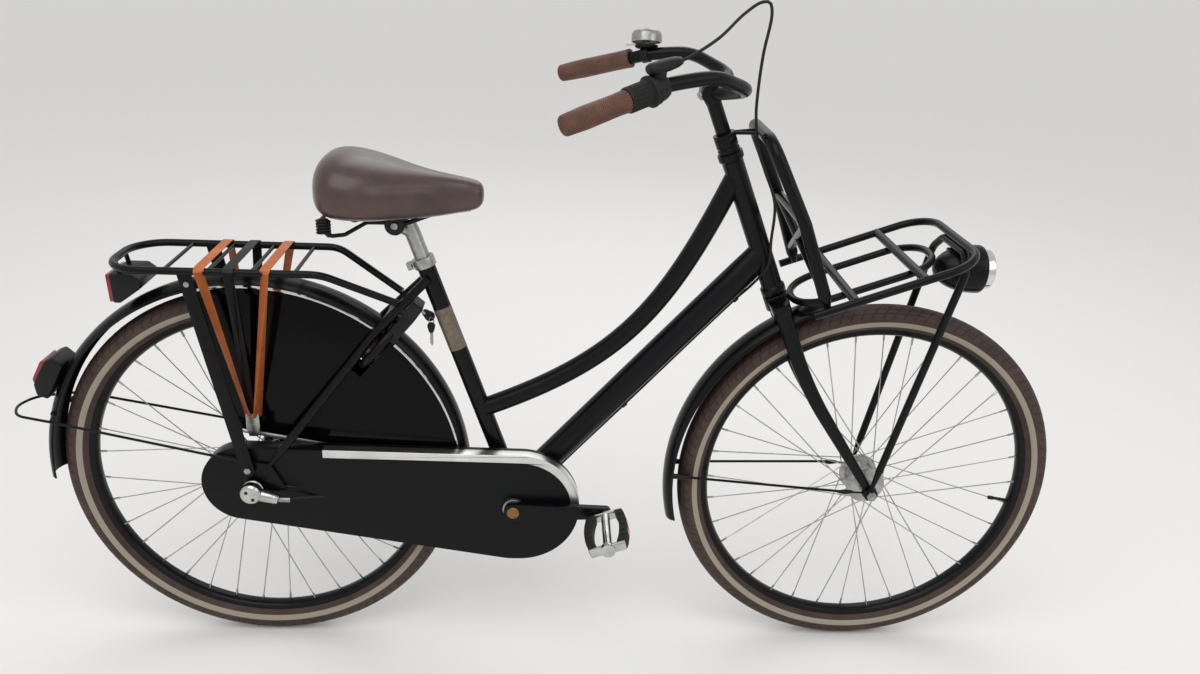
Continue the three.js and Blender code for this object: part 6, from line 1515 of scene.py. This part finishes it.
# Front carrier: rack, back and stays
rack = {
    "radius": 7, "halfWidth": 139, "rear": 963, "front": 1236, "slope": radians(20.6), "levelX": 1050,
    "levelZ": 775,
    "bend": 60, "barsX": (1031, 1142), "bar": 8, "hoop": 6.5, "hoopRear": 957, "hoopFront": 1192,
    "hoopSeam": 1080,
    "hoopHalf": 66, "hoopDrop": 13, "hanger": 5.2,
}


def onRack(x, y, drop=0.0):
    return at(x, y, rack["levelZ"] + (x - rack["levelX"]) * tan(rack["slope"]) - drop)


half = rack["halfWidth"]
railLine = bent([onRack(rack["rear"], -half), onRack(rack["front"], -half), onRack(rack["front"], half),
                 onRack(rack["rear"], half)], rack["bend"])
rackParts = [tubed("front_rail", railLine, rack["radius"], satin)]
for x in rack["barsX"]:
    rackParts.append(rod("front_bar", onRack(x, -half), onRack(x, half), rack["bar"], satin))
hoopLine = [onRack(x, s * rack["hoopHalf"], rack["hoopDrop"]) for x, s in (
    (rack["hoopSeam"], rightSide), (rack["hoopFront"], rightSide), (rack["hoopFront"], leftSide),
    (rack["hoopRear"], leftSide), (rack["hoopRear"], rightSide), (rack["hoopSeam"], rightSide))]
rackParts.append(tubed("front_hoop", bent(hoopLine, rack["bend"])[1:-1], rack["hoop"], satin, loop=True))
hangerFrom = onRack(rack["hoopRear"], 0, rack["hoopDrop"])
rackParts.append(rod("front_hanger", hangerFrom, onHead(-146) + unitX * 11, rack["hanger"], satin, 4))
dress("front_rack", rackParts, "steering")

rackBack = {
    "foot": (988, 126.7, onRack(988, 0).z), "knee": (938, 110, 888), "top": (874, 88, 1018),
    "flatShare": 0.15,
    "bend": 40, "radius": 11, "footRadius": 5.2, "brace": 8, "diagonalShare": 0.22, "tieFrom": (169, 17, 4.5),
    "tieY": 18, "tie": 3, "ring": [(13.4, 166.8), (19, 166.8), (19, 173.4), (13.4, 173.4)],
}
backFoot, backKnee = at(*rackBack["foot"]), at(*rackBack["knee"])
backEnd = backFoot.lerp(backKnee, rackBack["flatShare"])
backLine = bent(mirrored([backFoot, backEnd, backKnee, rackBack["top"]]), rackBack["bend"])
radii = [rackBack["footRadius"], *[rackBack["radius"]] * (len(backLine) - 2), rackBack["footRadius"]]
kneeEnds = [sided(s, *backKnee) for s in bothSides]
backParts = [tubed("back_hoop", backLine, rackBack["radius"], satin, radii, sides=8),
             rod("back_brace", *kneeEnds, rackBack["brace"], satin)]
onDiagonal = backFoot.lerp(backKnee, rackBack["diagonalShare"])
run, forwards, tieWidth = rackBack["tieFrom"]
for s in bothSides:
    tieFrom = onHead(run) + headForward * forwards + unitY * s * tieWidth
    tieTo = at(rackBack["top"][0], s * rackBack["tieY"], rackBack["top"][2])
    backParts.append(rod("back_diagonal", sided(s, *backKnee), sided(-s, *onDiagonal), rackBack["brace"],
                         satin))
    backParts.append(rod("back_tie", tieFrom, tieTo, rackBack["tie"], satin, 4))
backParts.append(turned("back_ring", rackBack["ring"], headPoint, headDir, satin, 32, 0.6))
dress("front_rack_back", backParts, "steering")

rackStays = {"radius": 7, "endRadius": 3.4, "bend": 24, "flatShare": 0.1, "footY": 62, "footLift": 10.1,
             "knee": (1231, 80), "kneeDrop": 26, "topY": 50, "eye": 13, "eyeEnds": (59, 65)}
stayTopZ = onRack(rack["front"], 0).z - rack["radius"] - layout["clear"] - rackStays["radius"]
footLow = frontAxle + at(0, rackStays["footY"], rackStays["footLift"])
kneeLow = at(*rackStays["knee"], stayTopZ - rackStays["kneeDrop"])
stayLine = bent(mirrored([footLow, footLow.lerp(kneeLow, rackStays["flatShare"]), kneeLow,
                          (rack["front"], rackStays["topY"], stayTopZ)]), rackStays["bend"])
radii = [rackStays["endRadius"], *[rackStays["radius"]] * (len(stayLine) - 2), rackStays["endRadius"]]
eyes = [crossRod("front_stay_eye", frontAxle.x, frontAxle.z, *(s * y for y in rackStays["eyeEnds"]),
                 rackStays["eye"], satin, 8, 1) for s in bothSides]
stayForm = tubed("front_stays", stayLine, rackStays["radius"], satin, radii)
dress("front_rack_stays", [stayForm, *eyes], "steering")

frontAxleRods = [("front_axle_bolt", -76.3, 76.3, 5, zinc, 4, 0.6)]
for s in bothSides:
    frontAxleRods.append(("front_cone", s * 44.3, s * 48.8, 9.5, zinc, 6, 0.5))
    frontAxleRods.append(("front_nut", s * 65.3, s * 73.3, 9.5, zinc, 1, 0.8))
dress("front_axle", crossRods(frontAxle.x, frontAxle.z, frontAxleRods), "steering")

# Profiles are (radius, x from the lamp's centre).
headlight = {
    "radius": 43, "back": 79, "x": 1284, "skirt": 2, "shorter": 4, "steps": 14,
    "rim": [(43, 2), (41.5, 5), (37, 7.5), (33, 7.5), (33, 2), (0, 2)],
    "bezel": [(22, 3), (30, 7.8), (35, 7.8), (35, 18), (34.3, 20.6), (31.5, 22.4), (29, 22.4), (28, 20.5),
              (22, 10)],
    "glass": [(0, 22.6), (10, 22.3), (20, 21.4), (28.4, 20), (28.4, 17.5), (0, 17.5)],
    "mirror": [(0, 8), (8, 8.4), (16, 10), (24, 13.5), (27.4, 17), (28, 16), (22, 4), (0, 4)],
    "hangerX": (1227, 1245), "hangerHalf": 11, "hangerLift": 26,
}
hangShare = (headlight["x"] - rack["front"]) / headlight["back"]
lampZ = stayTopZ - rackStays["radius"] - headlight["skirt"] - headlight["radius"] * sqrt(1 - hangShare ** 2)
lampAt = at(headlight["x"], 0, lampZ)
bullet = []
for k in range(headlight["steps"] + 1):
    turn = k / headlight["steps"] * pi / 2
    back = headlight["shorter"] + (headlight["back"] - headlight["shorter"]) * cos(turn)
    bullet.append((headlight["radius"] * sin(turn), -back))
hangerLow = (headlight["hangerX"][0], -headlight["hangerHalf"], lampZ + headlight["hangerLift"])
hangerHigh = (headlight["hangerX"][1], headlight["hangerHalf"],
              stayTopZ - rackStays["radius"] - layout["clear"])
dress("headlight_shell", [
    turned("lamp_shell", [*bullet, *headlight["rim"]], lampAt, unitX, satin, 56, 0.6),
    block("lamp_hanger", hangerLow, hangerHigh, satin, 2),
], "steering")
dress("headlight_bezel", [
    turned("lamp_bezel", headlight["bezel"], lampAt, unitX, chrome, 56),
    turned("lamp_glass", headlight["glass"], lampAt, unitX, lampLens),
    turned("lamp_mirror", headlight["mirror"], lampAt, unitX, chrome),
], "steering")
print("front carrier made")

# Studio floor, world, lights and camera
studio = {"floor": 400, "floorColour": "e9e8e6", "floorRough": 0.75, "sky": "e6e6e6", "seen": "d6d6d6",
          "aim": 0.55}
clearSelection()
bpy.ops.mesh.primitive_plane_add(size=studio["floor"], location=(0, 0, 0))
floor = bpy.context.object
floor.name = "studio_floor"
floorMaterial = bpy.data.materials.new("pale_floor")
floorMaterial.use_nodes = True
floorShader = floorMaterial.node_tree.nodes["Principled BSDF"]
floorShader.inputs["Base Color"].default_value = linear(studio["floorColour"])
floorShader.inputs["Roughness"].default_value = studio["floorRough"]
floor.data.materials.append(floorMaterial)

world = bpy.data.worlds.new("studio")
bpy.context.scene.world = world
world.use_nodes = True
sky = world.node_tree
background = sky.nodes["Background"]
background.inputs["Color"].default_value = linear(studio["sky"])
background.inputs["Strength"].default_value = 1.0
paper = addNode(sky, "ShaderNodeBackground", {"Color": linear(studio["seen"]), "Strength": 1.0})
ray = addNode(sky, "ShaderNodeLightPath")
seen = maths(sky, "MAXIMUM", ray.outputs["Is Camera Ray"], ray.outputs["Is Glossy Ray"])
seen = maths(sky, "MAXIMUM", seen, ray.outputs["Is Transmission Ray"])
either = addNode(sky, "ShaderNodeMixShader", None, {0: seen, 1: background.outputs[0], 2: paper.outputs[0]})
sky.links.new(either.outputs[0], sky.nodes["World Output"].inputs["Surface"])

# Softboxes: place in metres, size in metres and power in watts.
lights = {"key": ((-0.6, -1.6, 3.2), 2.6, 34), "fill": ((2.4, -1.8, 2.4), 2.0, 12),
          "back": ((0.4, 2.4, 3.0), 2.4, 20)}
for name, (spot, size, power) in lights.items():
    bpy.ops.object.light_add(type="AREA", location=spot)
    lamp = bpy.context.object
    lamp.name = name + "_softbox"
    lamp.data.size = size
    lamp.data.energy = power
    lamp.rotation_mode = "QUATERNION"
    lamp.rotation_quaternion = (at(0, 0, studio["aim"]) - at(*spot)).to_track_quat("-Z", "Y")

view = {"lens": 29.85, "sensor": 36, "place": (524, -1659, 1317), "yaw": radians(3.25),
        "pitch": radians(22.19),
        "roll": radians(-2.60)}
bpy.ops.object.camera_add()
camera = bpy.context.object
camera.data.lens = view["lens"]
camera.data.sensor_width = view["sensor"]
level = at(cos(view["yaw"]), -sin(view["yaw"]), 0)
ahead = at(sin(view["yaw"]), cos(view["yaw"]), 0)
forward = ahead * cos(view["pitch"]) - unitZ * sin(view["pitch"])
below = forward.cross(level)
right = level * cos(view["roll"]) + below * sin(view["roll"])
down = below * cos(view["roll"]) - level * sin(view["roll"])
place = Matrix((right, -down, -forward)).transposed().to_4x4()
place.translation = inFrame(view["place"])
camera.matrix_world = place
bpy.context.scene.camera = camera
bpy.context.scene.view_settings.view_transform = "Standard"

print("scene finished")
